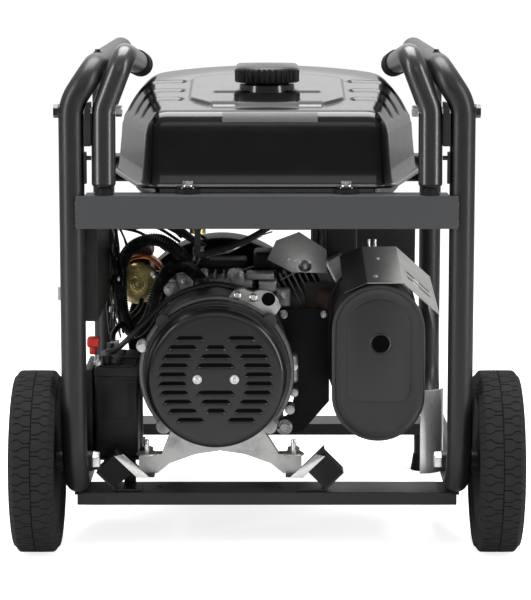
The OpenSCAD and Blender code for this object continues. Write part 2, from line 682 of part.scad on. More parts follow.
// Cast end bracket: bearing ring, spokes, and the two feet on the rubber mounts.
module alternator_bracket() color("#b5b8bb") placed() translate([shaft_x, bracket_y, shaft_z]) difference() {
    union() {
        difference() {
            bar_y(2 * stator_r + 8, bracket_l);
            translate([0, -1, 0]) bar_y(2 * stator_r - 14, bracket_l + 2);
        }
        bar_y(shaft_d + 22, bracket_l);
        for (a = [45 : 90 : 315]) rotate([0, a, 0]) {
            translate([0, 0, -7]) cube([stator_r, bracket_l - 6, 14]);
            translate([stator_r + 6, 1, 0]) bar_y(20, bracket_l - 2);
        }
        for (s = [-1, 1]) translate([s * cover_screw_x, -cover_h + 2.6, 0]) bar_y(12, cover_h + 8);
        difference() {
            translate([feet_x - shaft_x, 0, 0]) sheet_xz(bracket_l) polygon([[-68, -78],
                [-81, foot_boss_z + 27 - shaft_z], [-foot_dx - 11, foot_boss_z + 27 - shaft_z],
                [-foot_dx - 11, foot_boss_z - shaft_z], [-foot_dx + 14, foot_boss_z - shaft_z], [-70, -125],
                [-34, -112], [0, -107], [34, -112], [70, -125], [foot_dx - 14, foot_boss_z - shaft_z],
                [foot_dx + 11, foot_boss_z - shaft_z], [foot_dx + 11, foot_boss_z + 27 - shaft_z],
                [81, foot_boss_z + 27 - shaft_z], [60, -78]]);
            translate([0, -1, 0]) bar_y(2 * stator_r - 14, bracket_l + 2);
        }
    }
    translate([0, -cover_h, 0]) bar_y(shaft_d + 0.1, bracket_l + 2 * cover_h);
    for (s = [-1, 1]) {
        translate([s * cover_screw_x, -cover_h - 1, 0]) bar_y(5.2, 20);
        translate([feet_x - shaft_x + s * foot_dx, bracket_l / 2, foot_boss_z - shaft_z - 1]) {
            cylinder(d = 10.6, h = 60);
            translate([0, 0, 28]) cylinder(d = 25, h = 60);
        }
    }
}

module stator() color("#303234") placed() translate([shaft_x, stator_y, shaft_z]) difference() {
    union() {
        bar_y(2 * stator_r, stator_l);
        translate([0, 20, 0]) bar_y(2 * stator_r + 5, 6);
        translate([0, stator_l - 30, 0]) bar_y(2 * stator_r + 5, 30);
    }
    translate([0, -1, 0]) bar_y(2 * (rotor_r + air_gap), stator_l + 2);
}

module rotor() color("#9a5a30") placed() translate([shaft_x, stator_y + 14, shaft_z]) difference() {
    union() {
        intersection() {
            bar_y(2 * rotor_r, stator_l - 34);
            for (a = [0, 90]) rotate([0, a, 0]) translate([-rotor_r, 0, -46])
                cube([2 * rotor_r, stator_l, 92]);
        }
        translate([0, -12, 0]) bar_y(64, 10);
    }
    translate([0, -20, 0]) bar_y(shaft_d + 0.1, stator_l + 40);
}

// Crankshaft with its throw in the crankcase; it also carries the rotor and the flywheel.
module crankshaft() color("#8e9194") placed() translate([shaft_x, 0, shaft_z]) {
    mid = case_y + case_l / 2;
    near = bracket_y - 4;
    for (span = [[near, mid - 26], [mid + 26, recoil_y - 6]])
        translate([0, span[0], 0]) bar_y(shaft_d, span[1] - span[0]);
    for (y = [mid - 28, mid + 16]) translate([0, y, 0]) hull() {
        bar_y(44, 12, $fn = 32);
        translate([0, 0, crank_throw]) bar_y(40, 12, $fn = 32);
    }
    translate([0, mid - 17, crank_throw]) bar_y(30, 34);
}

// ---- Engine ----

// Turns a shape drawn along +X from the shaft axis to the cylinder's slope.
module along_cylinder() translate([shaft_x, case_y + case_l / 2, shaft_z]) rotate([0, -cyl_a, 0]) children();

module crankcase() color("#a7aaad") placed() difference() {
    union() {
        translate([shaft_x - case_w / 2, case_y, base_z + 12]) cube([case_w, case_l, case_top - base_z - 12]);
        translate([shaft_x - case_w / 2 - 12, case_y + 8, base_z]) cube([case_w + 24, case_l - 16, 12]);
        translate([shaft_x, case_y + 6, shaft_z]) rotate([-90, 0, 0]) cylinder(d = 150, h = case_l - 12);
        translate([shaft_x - 50, case_y + 30, case_top]) cube([70, 90, 8]);
        translate([shaft_x, case_y - 3.8, shaft_z]) bar_y(2 * stator_r, 4);
    }
    translate([shaft_x, case_y - 6, shaft_z]) bar_y(shaft_d + 0.1, case_l + 12);
    translate([shaft_x - case_w / 2 + 8, case_y + 34, base_z + 14])
        cube([case_w - 16, case_l - 68, case_top - base_z - 22]);
    along_cylinder() bar_x(cyl_bore, 120);
    along_cylinder() translate([80 - seat_gap, -fin_w, -fin_w]) cube([200, 2 * fin_w, 2 * fin_w]);
}

// Barrel and head in one casting, with square cooling fins.
module finned_barrel() {
    fins = floor(96 / fin_pitch);
    translate([80, 0, 0]) bar_x(cyl_bore + 14, 112);
    for (k = [0 : fins]) translate([84 + k * fin_pitch, -fin_w / 2, -fin_w / 2]) cube([fin_t, fin_w, fin_w]);
    translate([178, -fin_w / 2 + 4, -fin_w / 2 + 4]) cube([14, fin_w - 8, fin_w - 8]);
    translate([150, -fin_w / 2 - 6, -24]) cube([38, 30, 38]);
}

module engine_cylinder() color("#8b8e91") placed() along_cylinder() difference() {
    finned_barrel();
    translate([60, 0, 0]) bar_x(cyl_bore, 106);
    translate([169, -fin_w, -5]) bar_y(26, fin_w);
    translate([178, 30, 0]) bar_x(10.4, 30);
}

module piston() color("#b8bbbe") placed() along_cylinder() difference() {
    translate([96, 0, 0]) bar_x(cyl_bore - 2 * run_gap, 36);
    translate([90, 0, 0]) bar_x(cyl_bore - 12, 34);
}

module valve_cover() color("#9c9fa2") placed() along_cylinder() {
    translate([192 + seat_gap, -46, -44]) cube([6, 66, 88]);
    translate([198 + seat_gap, -42, -40]) cube([22, 58, 80]);
}

// Bent heat shield over the cylinder head: an upright front leaf and a top leaf on the fins.
module head_deflector() color("#6a6c6e") placed() along_cylinder() {
    front_y = -fin_w / 2 - 5;
    difference() {
        translate([0, front_y, 0]) sheet_xz(2)
            polygon([[146, 103], [182, 99], [206, 57], [191, 26], [145, 51],
            [122, 84]]);
        translate([150, front_y - 1, 70]) bar_y(8, 4);
    }
    translate([124, front_y, fin_w / 2 + seat_gap]) cube([64, 90, 2]);
}

// Spark plug with its cap, oil dipstick and drain plug.
module engine_plugs() color("#1f1f1f") placed() {
    along_cylinder() {
        translate([179, 30, 0]) bar_x(10, 22);
        translate([192.2, 30, 0]) bar_x(18, 30);
    }
    translate([shaft_x + case_w / 2 + seat_gap, case_y + case_l - 40, base_z + 40]) bar_x(26, 14);
    translate([shaft_x - case_w / 2 - 10 - seat_gap, case_y + 60, base_z + 24]) bar_x(16, 10);
}

// Fan shroud with an air inlet, and the ribbed recoil housing on it.
module fan_shroud() color("#181818") placed() translate([shaft_x, 0, shaft_z]) {
    difference() {
        translate([0, shroud_y, 0]) bar_y(2 * shroud_r, shroud_l);
        translate([0, shroud_y - 1, 0]) bar_y(2 * shroud_r - 5, shroud_l - 1.5);
        translate([0, shroud_y, 0]) bar_y(2 * recoil_r - 24, shroud_l + 1);
        translate([-shroud_r - 1, shroud_y - 1, -shroud_r - 1])
            cube([2 * shroud_r + 2, shroud_l + 2, shroud_r + 1 - shaft_z + base_z + 4]);
        translate([shroud_side, shroud_y - 1, -shroud_r]) cube([shroud_r, shroud_l + 2, 2 * shroud_r]);
    }
    for (a = [-130, -50, 50, 130]) translate([0, shroud_y, 0]) rotate([0, a, 0]) translate([98, 0, -8])
        cube([shroud_r - 99, 3, 16]);
    difference() {
        translate([0, recoil_y, 0]) bar_y(2 * recoil_r, recoil_l);
        translate([0, recoil_y - 1, 0]) bar_y(2 * recoil_r - 6, recoil_l - 2);
        for (k = [0 : 17]) rotate([0, k * 20, 0]) translate([56, recoil_y + recoil_l - 6, -4])
            cube([30, 8, 8]);
        translate([-recoil_r - 1, recoil_y + recoil_l / 2, rope_r]) bar_x(rope_d + 2 * run_gap, 60);
    }
    translate([0, recoil_y + 6, 0]) bar_y(10, recoil_l - 8);
    translate([0, recoil_y + 3.6, 0]) bar_y(22, 2.4);
}

module flywheel() color("#77797b") placed() translate([shaft_x, shroud_y + 4, shaft_z]) difference() {
    union() {
        bar_y(2 * flywheel_r, 22);
        for (k = [0 : 15]) rotate([0, k * 22.5, 0]) translate([58, 20, -2]) cube([flywheel_r - 60, 26, 4]);
        bar_y(60, 44);
    }
    translate([0, -1, 0]) bar_y(shaft_d + 0.1, 60);
}

module recoil_reel() color("#3a3a3a") placed() translate([shaft_x, recoil_y + 6.4, shaft_z]) difference() {
    union() {
        bar_y(2 * rope_r + 10, 4);
        bar_y(2 * rope_r - 6, recoil_l - 12);
        translate([0, recoil_l - 16, 0]) bar_y(2 * rope_r + 10, 4);
    }
    translate([0, -1, 0]) bar_y(10.1, recoil_l);
}

// T-handle of the recoil starter with the first stretch of its rope.
module recoil_grip() color("#222222") placed()
    translate([shaft_x - recoil_r, recoil_y + recoil_l / 2, shaft_z + rope_r]) {
    translate([-14, 0, -50]) cylinder(d = 22, h = 100);
    translate([-14, 0, 0]) bar_x(14, 13.6);
    translate([-6, 0, 0]) bar_x(rope_d, 20);
}

module air_cleaner() color("#1e1e1e") placed() {
    ac_x = 70;
    ac_y = carb_y + carb_l + seat_gap;
    translate([ac_x, ac_y, 300]) rotate([-90, 0, 0]) mirror([0, 1, 0]) linear_extrude(104)
        round_rect(158, 128, 26);
    translate([ac_x - 2, ac_y + 30, 360]) rotate([-90, 0, 0]) mirror([0, 1, 0]) linear_extrude(3)
        round_rect(162, 70, 4);
    translate([ac_x + 79, ac_y + 104, 364]) bar_y(26, 8);
}
port_x = shaft_x + 169 * cos(cyl_a);
port_z = shaft_z + 169 * sin(cyl_a);
carb_y = case_y + case_l / 2 + fin_w / 2 + seat_gap;
carb_l = 54;

module carburetor() color("#a2a5a8") placed() translate([port_x, carb_y, port_z]) difference() {
    union() {
        translate([-30, 0, -22]) cube([60, 8, 44]);
        bar_y(40, carb_l);
        translate([0, 28, -44]) cylinder(d = 36, h = 36);
        translate([0, 28, 10]) cylinder(d = 10, h = 26);
        translate([0, 34, 0]) bar_x(16, 26);
    }
    translate([0, -1, 0]) bar_y(26, carb_l + 2);
}

module choke_lever() color("#26282a") placed() translate([port_x + 26 + run_gap, carb_y + 34, port_z]) {
    bar_x(14, 3);
    translate([0, -4, -20]) cube([3, 8, 20]);
}

// Governor arm on its upright shaft.
module governor_arm() color("#b3b6b9") placed() translate([shaft_x + 28, case_y + 38, case_top + seat_gap]) {
    cylinder(d = 9, h = 26);
    translate([-5, 0, 20]) cube([10, 76, 3]);
}

// Starter motor with its plated end cap, solenoid and mounting ears.
module starter_motor() color("#2a2a2a") placed() translate([starter_x, starter_y, starter_z]) {
    bar_y(56, starter_l);
    translate([0, -5, 0]) bar_y(50, 5);
    translate([0, -9, 0]) bar_y(12, 4);
    translate([4, 12, 40]) bar_y(34, 74);
    ear_l = shaft_x - case_w / 2 - seat_gap - starter_x;
    for (y = [30, 90]) translate([0, y, -12]) cube([ear_l, 10, 24]);
}
starter_x = -192;
starter_y = 40;
starter_z = 332;
starter_l = 108;

// ---- Exhaust ----

module stadium(w, h) round_rect(w, h, w / 2 - 0.01);

// Muffler can with rolled end rims, a pressed panel and the outlet.
module muffler() color("#3a3a3b") placed()
    translate([muffler_x - muffler_w / 2, muffler_y, muffler_z - muffler_h / 2])
    difference() {
        union() {
            translate([2, 0, 2]) sheet_xz(muffler_l) stadium(muffler_w - 4, muffler_h - 4);
            for (y = [0, muffler_l - 8]) translate([0, y, 0]) sheet_xz(8) stadium(muffler_w, muffler_h);
            for (y = [50, 175]) translate([muffler_w / 2 + 8, y, muffler_h - 8])
                cylinder(d = 12, h = 2.5 + shield_rise(y));
        }
        translate([5, -1, 5]) sheet_xz(4.5) stadium(muffler_w - 10, muffler_h - 10);
        translate([8, 5, 8]) sheet_xz(muffler_l - 10) stadium(muffler_w - 16, muffler_h - 16);
        translate([muffler_w / 2 + 3, -1, muffler_h / 2 + 27]) bar_y(outlet_d, 12);
    }
shield_a = 6.5;
shield_lift = 6;
function shield_rise(y) = shield_lift + y * tan(shield_a);

// Bent sheet over the muffler, and the plated side deflector.
module muffler_shield() color("#6b6d6f") placed() {
    t = 1.6;
    top = muffler_z + muffler_h / 2;
    half = muffler_w / 2;
    translate([muffler_x, muffler_y, top]) difference() {
        translate([0, 0, shield_lift - 3]) rotate([shield_a, 0, 0]) sheet_xz(muffler_l - 12) difference() {
            polygon([[-48, -14], [-16, 0], [34, 0], [84, -45], [84, -92], [84 - t, -92], [84 - t, -44],
                [33.4, -t], [-15.6, -t], [-47.4, -14 - t]]);
        }
        for (y = [60, 90]) translate([62, y, -60]) rotate([0, 42, 0]) translate([-5, 0, 0])
            cube([10, 12, 80]);
    }
    translate([muffler_x + half + 4, muffler_y + 30, muffler_z - 128]) rotate([0, 0, -12]) {
        cube([1.6, 96, 82]);
        translate([-6.9, 6, 68]) cube([7, 18, 12]);
    }
}

module exhaust_pipe() color("#5d5a57") placed() {
    face_y = case_y + case_l / 2 - fin_w / 2 - 6 - seat_gap;
    difference() {
        union() {
            translate([port_x - 24, face_y - 5, port_z - 24]) cube([48, 5, 44]);
            rod([port_x, face_y - 3, port_z - 2], [port_x + 50, muffler_back - 12, port_z - 16], 30);
        }
        translate([0, muffler_back - 60 + seat_gap, 0]) cube([400, 60, 600]);
        translate([0, face_y, 0]) cube([400, 60, 600]);
    }
}

// ---- Electrics ----

module battery() color("#1a1a1a") placed() {
    translate([battery_x, battery_y, battery_z]) cube([battery_w, battery_l, battery_h - 12]);
    translate([battery_x - 0.5, battery_y - 1, battery_z + battery_h - 12])
        cube([battery_w + 1, battery_l + 2, 12]);
    for (y = [18, battery_l - 18]) translate([battery_x + 16, battery_y + y, battery_z + battery_h])
        cylinder(d = 14, h = 12);
}

module battery_tray() color("#262626") placed() {
    tray_z = bottom_z + tube_r + seat_gap;
    strap_y = battery_y + battery_l / 2 - 10;
    right_x = battery_x + battery_w + 0.8;
    translate([battery_x - 22, battery_y - 2, tray_z])
        cube([right_x + 1.6 - battery_x + 22, battery_l + 4, battery_z - tray_z]);
    translate([right_x - 20.8, battery_y - 2, bar_top]) cube([16, 12, tray_z - bar_top]);
    for (x = [battery_x - 2.4, right_x]) translate([x, strap_y, battery_z]) cube([1.6, 20, battery_h + 0.2]);
    translate([battery_x - 2.4, strap_y, battery_z + battery_h + 0.2])
        cube([right_x + 4 - battery_x, 20, 1.6]);
}

conduit_route = [[-110, 14, 340], [-122, 2, 372], [-155, -12, 400], [-190, -20, 396], [-210, -22, 372],
    [-214, -22, 335], [-210, -22, 292], [-196, -20, 266], [-174, -18, 286], [-160, -20, 330],
    [-142, -26, 358], [-118, -40, 366], [-100, -52, 352], [-94, -56, 343.5]];
main_lead_route = [[-40, -190, 344], [-44, -196, 354], [-78, -206, 362], [-130, -214, 346], [-168, -220, 312],
    [-196, -218, 284], [-212, -210, 270], [-222, -196.1, 266]];
earth_lead_route = [[-224, -74, 262], [-222, -60, 272], [-212, -30, 280], [-190, 10, 296], [-186, 28, 312],
    [-188, 30.6, 326]];
hose_route = [[-96, -200, 422.2], [-96, -200, 404], [-80, -170, 402], [-30, -90, 410], [20, 10, 426],
    [62, 104, 424], [79, 142, 400], [port_x, carb_y + 28, 374], [port_x, carb_y + 28, port_z + 36.2]];

// Corrugated conduit, battery leads and the battery's terminal boots.
module wiring() color("#141414") placed() {
    sweep(smooth_route(conduit_route, 3), 19, 12, [0, 1, 0]);
    sweep(smooth_route(main_lead_route, 3), 8, 8, [0, 1, 0]);
    sweep(smooth_route(earth_lead_route, 3), 8, 8, [1, 0, 0]);
    for (y = [18, battery_l - 18]) translate([battery_x + 8, battery_y + y - 8, battery_z + battery_h + 12])
        cube([20, 16, 14]);
}

module control_box() color("#1c1c1c") placed() translate([panel_x, panel_y, panel_z]) difference() {
    cube([panel_d, panel_l, panel_h]);
    translate([3, 3, 3]) cube([panel_d - 6, panel_l - 6, panel_h - 6]);
}

// Sockets, voltmeter and switch bezels on the control panel.
module socket_outlets() color("#20344e") placed() translate([panel_x, panel_y, panel_z]) {
    for (y = [70, 140]) translate([-10, y, 62]) difference() {
        bar_x(54, 10);
        translate([-1, 0, 0]) bar_x(40, 8);
    }
    translate([-12, 222, 62]) difference() {
        bar_x(66, 12);
        translate([-1, 0, 0]) bar_x(50, 9);
    }
    translate([-4, 278, 74]) cube([4, 44, 34]);
    translate([-3, 20, 84]) difference() {
        cube([3, 22, 32]);
        translate([-1, 3, 4]) cube([5, 16, 24]);
    }
    translate([-4, 30, 34]) bar_x(24, 4);
}

module breaker_switch() color("#b8241c") placed() translate([panel_x - 4.4, panel_y + 31, panel_z + 100]) {
    translate([-3, -7.6, -9]) cube([5, 15.2, 18]);
    translate([0, -7.8, 0]) bar_y(5, 15.6);
}

module engine_key() color("#9da0a3") placed() translate([panel_x - 4 - run_gap, panel_y + 30, panel_z + 34]) {
    translate([-4, 0, 0]) bar_x(9, 4);
    translate([-18, -1.2, -9]) cube([15, 2.4, 18]);
}

// ---- Mounts and fasteners ----

// Angled plates of one alternator mount, drawn about the rubber block's centre.
module mount_plates() {
    c = mount_c;
    p = plate_t * sqrt(2);
    boss_in = mount_dx - foot_dx - 11;
    plate_end = boss_in - seat_gap;
    linear_extrude(mount_l) {
        polygon([[-c, 0], [0, -c], [0, -c - p], [-c - p / 2, -p / 2]]);
        translate([-1, -c - p]) square([38, plate_t]);
    }
    translate([0, 0, -8]) linear_extrude(mount_l) {
        polygon([[0, c], [c, 0], [plate_end, c - plate_end], [plate_end, c - plate_end + p], [0, c + p]]);
        translate([boss_in - 3, foot_boss_z - mount_z - plate_t]) square([25, plate_t]);
    }
}

// Puts a mount piece, drawn in X and Z and extruded towards -Y, at the left or right foot.
module at_mount(side) translate([feet_x, 0, mount_z]) on_side(-side)
    translate([-mount_dx, mount_y + mount_l, 0])
    rotate([90, 0, 0]) children();

module mount_brackets() color("#4b4d4f") placed() {
    difference() {
        for (s = [-1, 1]) at_mount(s) mount_plates();
        for (s = [-1, 1]) translate([feet_x + s * foot_dx, bracket_y + bracket_l / 2, foot_boss_z - 10])
            cylinder(d = 10.6, h = 20);
    }
    translate([shaft_x - case_w / 2 - 20, case_y + 10, base_z - plate_t])
        cube([case_w + 40, bar_rear_out - case_y - 42, plate_t]);
}

module rubber_buffers() color("#1a1a1a") placed() {
    for (s = [-1, 1]) at_mount(s) rotate(45) translate([-mount_side / 2, -mount_side / 2, 0])
        cube([mount_side, mount_side, mount_l]);
    for (s = [-1, 1], e = [-1, 1]) translate([s * tank_bolt_x, e * tank_bolt_y, plate_z]) difference() {
        cylinder(d = 34, h = tank_seat);
        translate([0, 0, -1]) cylinder(d = 8.4, h = tank_seat + 2);
    }
    for (x = [-70, 70]) translate([shaft_x + x, bar_rear_out - bar_w + 20, bar_top])
        cylinder(d = 38, h = base_z - plate_t - bar_top);
    bump_top = pivot_z - norm([stub_l + 2.5, handle_d / 2]) - run_gap;
    for (s = [-1, 1]) translate([s * handle_x, -half_l - 2, plate_z])
        cylinder(d1 = 27, d2 = 18, h = bump_top - plate_z);
}

// Plated screws, nuts and washers that show.
module zinc_bolts() color("#c9ccd0") placed() {
    for (s = [-1, 1], e = [-1, 1]) translate([s * tank_bolt_x, e * tank_bolt_y, seam_z + 4 + 1.6])
        hex_bolt(8, 32);
    for (s = [-1, 1]) translate([shaft_x + s * cover_screw_x, -cover_near - 3, shaft_z]) {
        bar_y(12, 2.8);
        bar_y(5, 14);
    }
    for (s = [-1, 1]) translate([feet_x + s * foot_dx, bracket_y + bracket_l / 2,
        foot_boss_z + 27 + 1.6]) hex_bolt(10, 34);
}

frame_left();
frame_right();
cross_plate();
rear_plate();
crossbars();
rear_legs();
rear_feet();
handle_left();
handle_right();
grip_left();
grip_right();
handle_brackets();
pivot_bolts();
latch_left();
latch_right();
tyre_left();
rim_left();
tyre_right();
rim_right();
axle_brackets();
stub_axles();
fuel_tank();
zinc_bolts();
rubber_buffers();
filler_strainer();
fuel_cap();
fuel_valve();
fuel_lever();
fuel_hose();
alternator_cover();
alternator_bracket();
stator();
rotor();
crankshaft();
crankcase();
engine_cylinder();
piston();
valve_cover();
head_deflector();
engine_plugs();
fan_shroud();
flywheel();
recoil_reel();
recoil_grip();
air_cleaner();
carburetor();
choke_lever();
governor_arm();
starter_motor();
muffler();
muffler_shield();
exhaust_pipe();
battery();
battery_tray();
wiring();
control_box();
socket_outlets();
breaker_switch();
engine_key();
mount_brackets();
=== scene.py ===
"""Looks of an open-frame portable generator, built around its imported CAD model."""

import logging
import math
import random
from dataclasses import dataclass, field
from enum import Enum
from typing import Callable, Iterable, Optional, Sequence, Union

import bmesh
import bpy
from bmesh.types import BMEdge, BMVert
from mathutils import Matrix, Vector

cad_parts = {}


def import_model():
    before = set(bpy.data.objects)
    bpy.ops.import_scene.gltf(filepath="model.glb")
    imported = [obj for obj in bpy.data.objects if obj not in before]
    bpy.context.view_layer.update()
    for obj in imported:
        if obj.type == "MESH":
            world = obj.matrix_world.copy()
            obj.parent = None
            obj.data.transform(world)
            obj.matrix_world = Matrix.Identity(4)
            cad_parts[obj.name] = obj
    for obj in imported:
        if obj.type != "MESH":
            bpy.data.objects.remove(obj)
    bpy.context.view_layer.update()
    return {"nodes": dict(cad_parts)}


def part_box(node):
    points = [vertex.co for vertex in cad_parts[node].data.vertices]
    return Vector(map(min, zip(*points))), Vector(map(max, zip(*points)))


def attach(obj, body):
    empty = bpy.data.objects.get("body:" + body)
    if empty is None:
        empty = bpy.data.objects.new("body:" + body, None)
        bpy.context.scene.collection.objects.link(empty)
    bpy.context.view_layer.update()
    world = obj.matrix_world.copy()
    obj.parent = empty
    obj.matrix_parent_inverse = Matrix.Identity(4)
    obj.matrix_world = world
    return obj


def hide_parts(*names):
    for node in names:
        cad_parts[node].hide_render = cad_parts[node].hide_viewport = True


LOG = logging.getLogger("generator")
MM = 0.001
Point = Sequence[float]
Flat = tuple[float, float]
Colour = tuple[float, float, float]

SIDES = {-1: "left", 1: "right"}
UP = Vector((0, 0, 1))
NEAR = Vector((0, -1, 0))
PIVOT_HEIGHT = 610.0
BARE_METAL = (0.66, 0.66, 0.65)
EVERY_WAY = (1.0, 1.0, 1.0)


# ---- Shader maths ----


class Signal:
    """A shader socket that takes part in Python expressions, adding Math nodes as it goes."""

    def __init__(self, graph: "Graph", socket: bpy.types.NodeSocket) -> None:
        """Wraps a socket.

        Args:
            graph: the material graph that the socket belongs to.
            socket: an output socket.
        """
        self.graph = graph
        self.socket = socket

    def _math(self, operation: str, first: object, second: object = None, third: object = None) -> "Signal":
        """Adds one Math node.

        Args:
            operation: Blender's name of the operation.
            first: value or signal of the first socket.
            second: value or signal of the second socket, if any.
            third: value or signal of the third socket, if any.

        Returns:
            The node's result.
        """
        values = {i: v for i, v in enumerate((first, second, third)) if v is not None}
        return self.graph.add("ShaderNodeMath", {"operation": operation}, values).out(0)

    def __add__(self, other: object) -> "Signal":
        """Sum."""
        return self._math("ADD", self, other)

    __radd__ = __add__

    def __mul__(self, other: object) -> "Signal":
        """Product."""
        return self._math("MULTIPLY", self, other)

    __rmul__ = __mul__

    def __sub__(self, other: object) -> "Signal":
        """Difference."""
        return self._math("SUBTRACT", self, other)

    def __rsub__(self, other: object) -> "Signal":
        """Difference with this signal on the right."""
        return self._math("SUBTRACT", other, self)

    def __gt__(self, other: object) -> "Signal":
        """1 where this signal is the greater."""
        return self._math("GREATER_THAN", self, other)

    def clamped(self) -> "Signal":
        """This signal kept between 0 and 1."""
        return self._math("MINIMUM", self._math("MAXIMUM", self, 0.0), 1.0)

    def sine(self) -> "Signal":
        """Sine of this signal in radians."""
        return self._math("SINE", self)

    def step(self, low: float, high: float) -> "Signal":
        """Smooth rise from 0 at low to 1 at high.

        Args:
            low: value where the rise starts.
            high: value where it ends.

        Returns:
            The smoothed signal.
        """
        settings = {"interpolation_type": "SMOOTHSTEP"}
        return self.graph.add("ShaderNodeMapRange", settings, {0: self, 1: low, 2: high}).out(0)


class Node:
    """One node of a material graph, with its outputs as signals."""

    def __init__(self, graph: "Graph", node: bpy.types.Node) -> None:
        """Wraps a node.

        Args:
            graph: the graph that the node belongs to.
            node: the Blender node.
        """
        self.graph = graph
        self.node = node

    def out(self, key: Union[int, str] = 0) -> Signal:
        """Output socket key as a signal."""
        return Signal(self.graph, self.node.outputs[key])


class Graph:
    """Node tree of one material or of the world."""

    def __init__(self, tree: bpy.types.NodeTree) -> None:
        """Empties a node tree.

        Args:
            tree: the tree to fill.
        """
        self.tree = tree
        tree.nodes.clear()

    def add(self, kind: str, settings: Optional[dict] = None, sockets: Optional[dict] = None) -> Node:
        """Adds a node.

        Args:
            kind: Blender's type of the node.
            settings: attributes set before the sockets.
            sockets: values, signals or raw sockets by input name or number.

        Returns:
            The new node.
        """
        node = self.tree.nodes.new(kind)
        for name, value in (settings or {}).items():
            setattr(node, name, value)
        for key, value in (sockets or {}).items():
            if isinstance(value, Signal):
                self.tree.links.new(value.socket, node.inputs[key])
            else:
                node.inputs[key].default_value = value
        return Node(self, node)

    def place(self) -> Signal:
        """Object coordinates, in metres."""
        return self.add("ShaderNodeTexCoord").out("Object")

    def split(self, vector: Signal) -> Node:
        """Node whose outputs 0, 1 and 2 are a vector's X, Y and Z."""
        return self.add("ShaderNodeSeparateXYZ", None, {0: vector})

    def noise(self, scale: float, detail: float = 3.0, stretch: Optional[Point] = None,
              rough: float = 0.5) -> Signal:
        """Noise over object coordinates.

        Args:
            scale: cells per metre.
            detail: octaves.
            stretch: scale along each axis, if it isn't the same.
            rough: share of the finer octaves.

        Returns:
            A signal between 0 and 1.
        """
        at = self.place()
        if stretch is not None:
            at = self.add("ShaderNodeMapping", None, {"Vector": at, "Scale": stretch}).out()
        sockets = {"Vector": at, "Scale": scale, "Detail": detail, "Roughness": rough}
        return self.add("ShaderNodeTexNoise", None, sockets).out(0)

    def cells(self, scale: float) -> Signal:
        """Distance to the nearest cell centre of a Voronoi pattern of scale cells per metre."""
        return self.add("ShaderNodeTexVoronoi", None, {"Vector": self.place(), "Scale": scale}).out(0)

    def blend(self, factor: object, first: object, second: object) -> Signal:
        """Mixes two colours.

        Args:
            factor: share of the second colour.
            first: colour or signal.
            second: colour or signal.

        Returns:
            The mixed colour.
        """
        sockets = {0: factor, 6: self._colour(first), 7: self._colour(second)}
        return self.add("ShaderNodeMix", {"data_type": "RGBA"}, sockets).out(2)

    @staticmethod
    def _colour(value: object) -> object:
        """A colour with its alpha, or a signal as it is."""
        return value if isinstance(value, Signal) else (*value, 1.0)

    def bump(self, height: object, strength: float, distance: float) -> Signal:
        """Bump of a height signal.

        Args:
            height: the height, from 0 to 1.
            strength: share of the effect.
            distance: height in metres of a full step.

        Returns:
            A normal.
        """
        sockets = {"Height": height, "Strength": strength, "Distance": distance}
        return self.add("ShaderNodeBump", None, sockets).out()


# ---- Finishes ----


@dataclass(frozen=True)
class Finish:
    """A surface finish; the subclasses say how its colour, gloss and relief vary."""

    name: str
    colour: Colour
    roughness: float = 0.5
    metallic: float = 0.0
    coat: float = 0.0
    coat_roughness: float = 0.1
    specular: float = 0.5

    def vary(self, graph: Graph) -> dict:
        """Signals of the sockets that vary over the surface.

        Args:
            graph: the material's graph.

        Returns:
            Signals by the name of the shader's socket.
        """
        return {}

    def material(self) -> bpy.types.Material:
        """The Blender material of this finish, made once."""
        title = f"{self.name}_finish"
        known = bpy.data.materials.get(title)
        if known is not None:
            return known
        made = bpy.data.materials.new(title)
        made.use_nodes = True
        graph = Graph(made.node_tree)
        sockets = {
            "Base Color": (*self.colour, 1.0),
            "Roughness": self.roughness,
            "Metallic": self.metallic,
            "Coat Weight": self.coat,
            "Coat Roughness": self.coat_roughness,
            "Specular IOR Level": self.specular,
        }
        sockets.update(self.vary(graph))
        shader = graph.add("ShaderNodeBsdfPrincipled", None, sockets)
        graph.add("ShaderNodeOutputMaterial", None, {"Surface": shader.out()})
        made.diffuse_color = (*self.colour, 1.0)
        return made


@dataclass(frozen=True)
class Paint(Finish):
    """Sprayed or powder-coated paint: fine orange peel, a little dust and small changes of gloss."""

    peel: float = 0.35
    peel_scale: float = 900.0
    dust: float = 0.25
    dust_colour: Colour = (0.11, 0.108, 0.1)

    def vary(self, graph: Graph) -> dict:
        """Orange peel as relief, patches of dust in the colour and the gloss.

        Args:
            graph: the material's graph.

        Returns:
            Signals by the name of the shader's socket.
        """
        patches = graph.noise(14.0, 5.0, rough=0.62).step(0.5, 0.78)
        specks = graph.noise(420.0, 2.0).step(0.6, 0.78)
        dirt = (patches * 0.75 + specks * patches * 0.5) * self.dust
        peel = graph.noise(self.peel_scale, 2.0)
        return {
            "Base Color": graph.blend(dirt * 0.35, self.colour, self.dust_colour),
            "Roughness": (dirt * 0.35 + graph.noise(60.0, 3.0) * 0.08 + (self.roughness - 0.04)).clamped(),
            "Normal": graph.bump(peel, self.peel, 0.0002),
        }


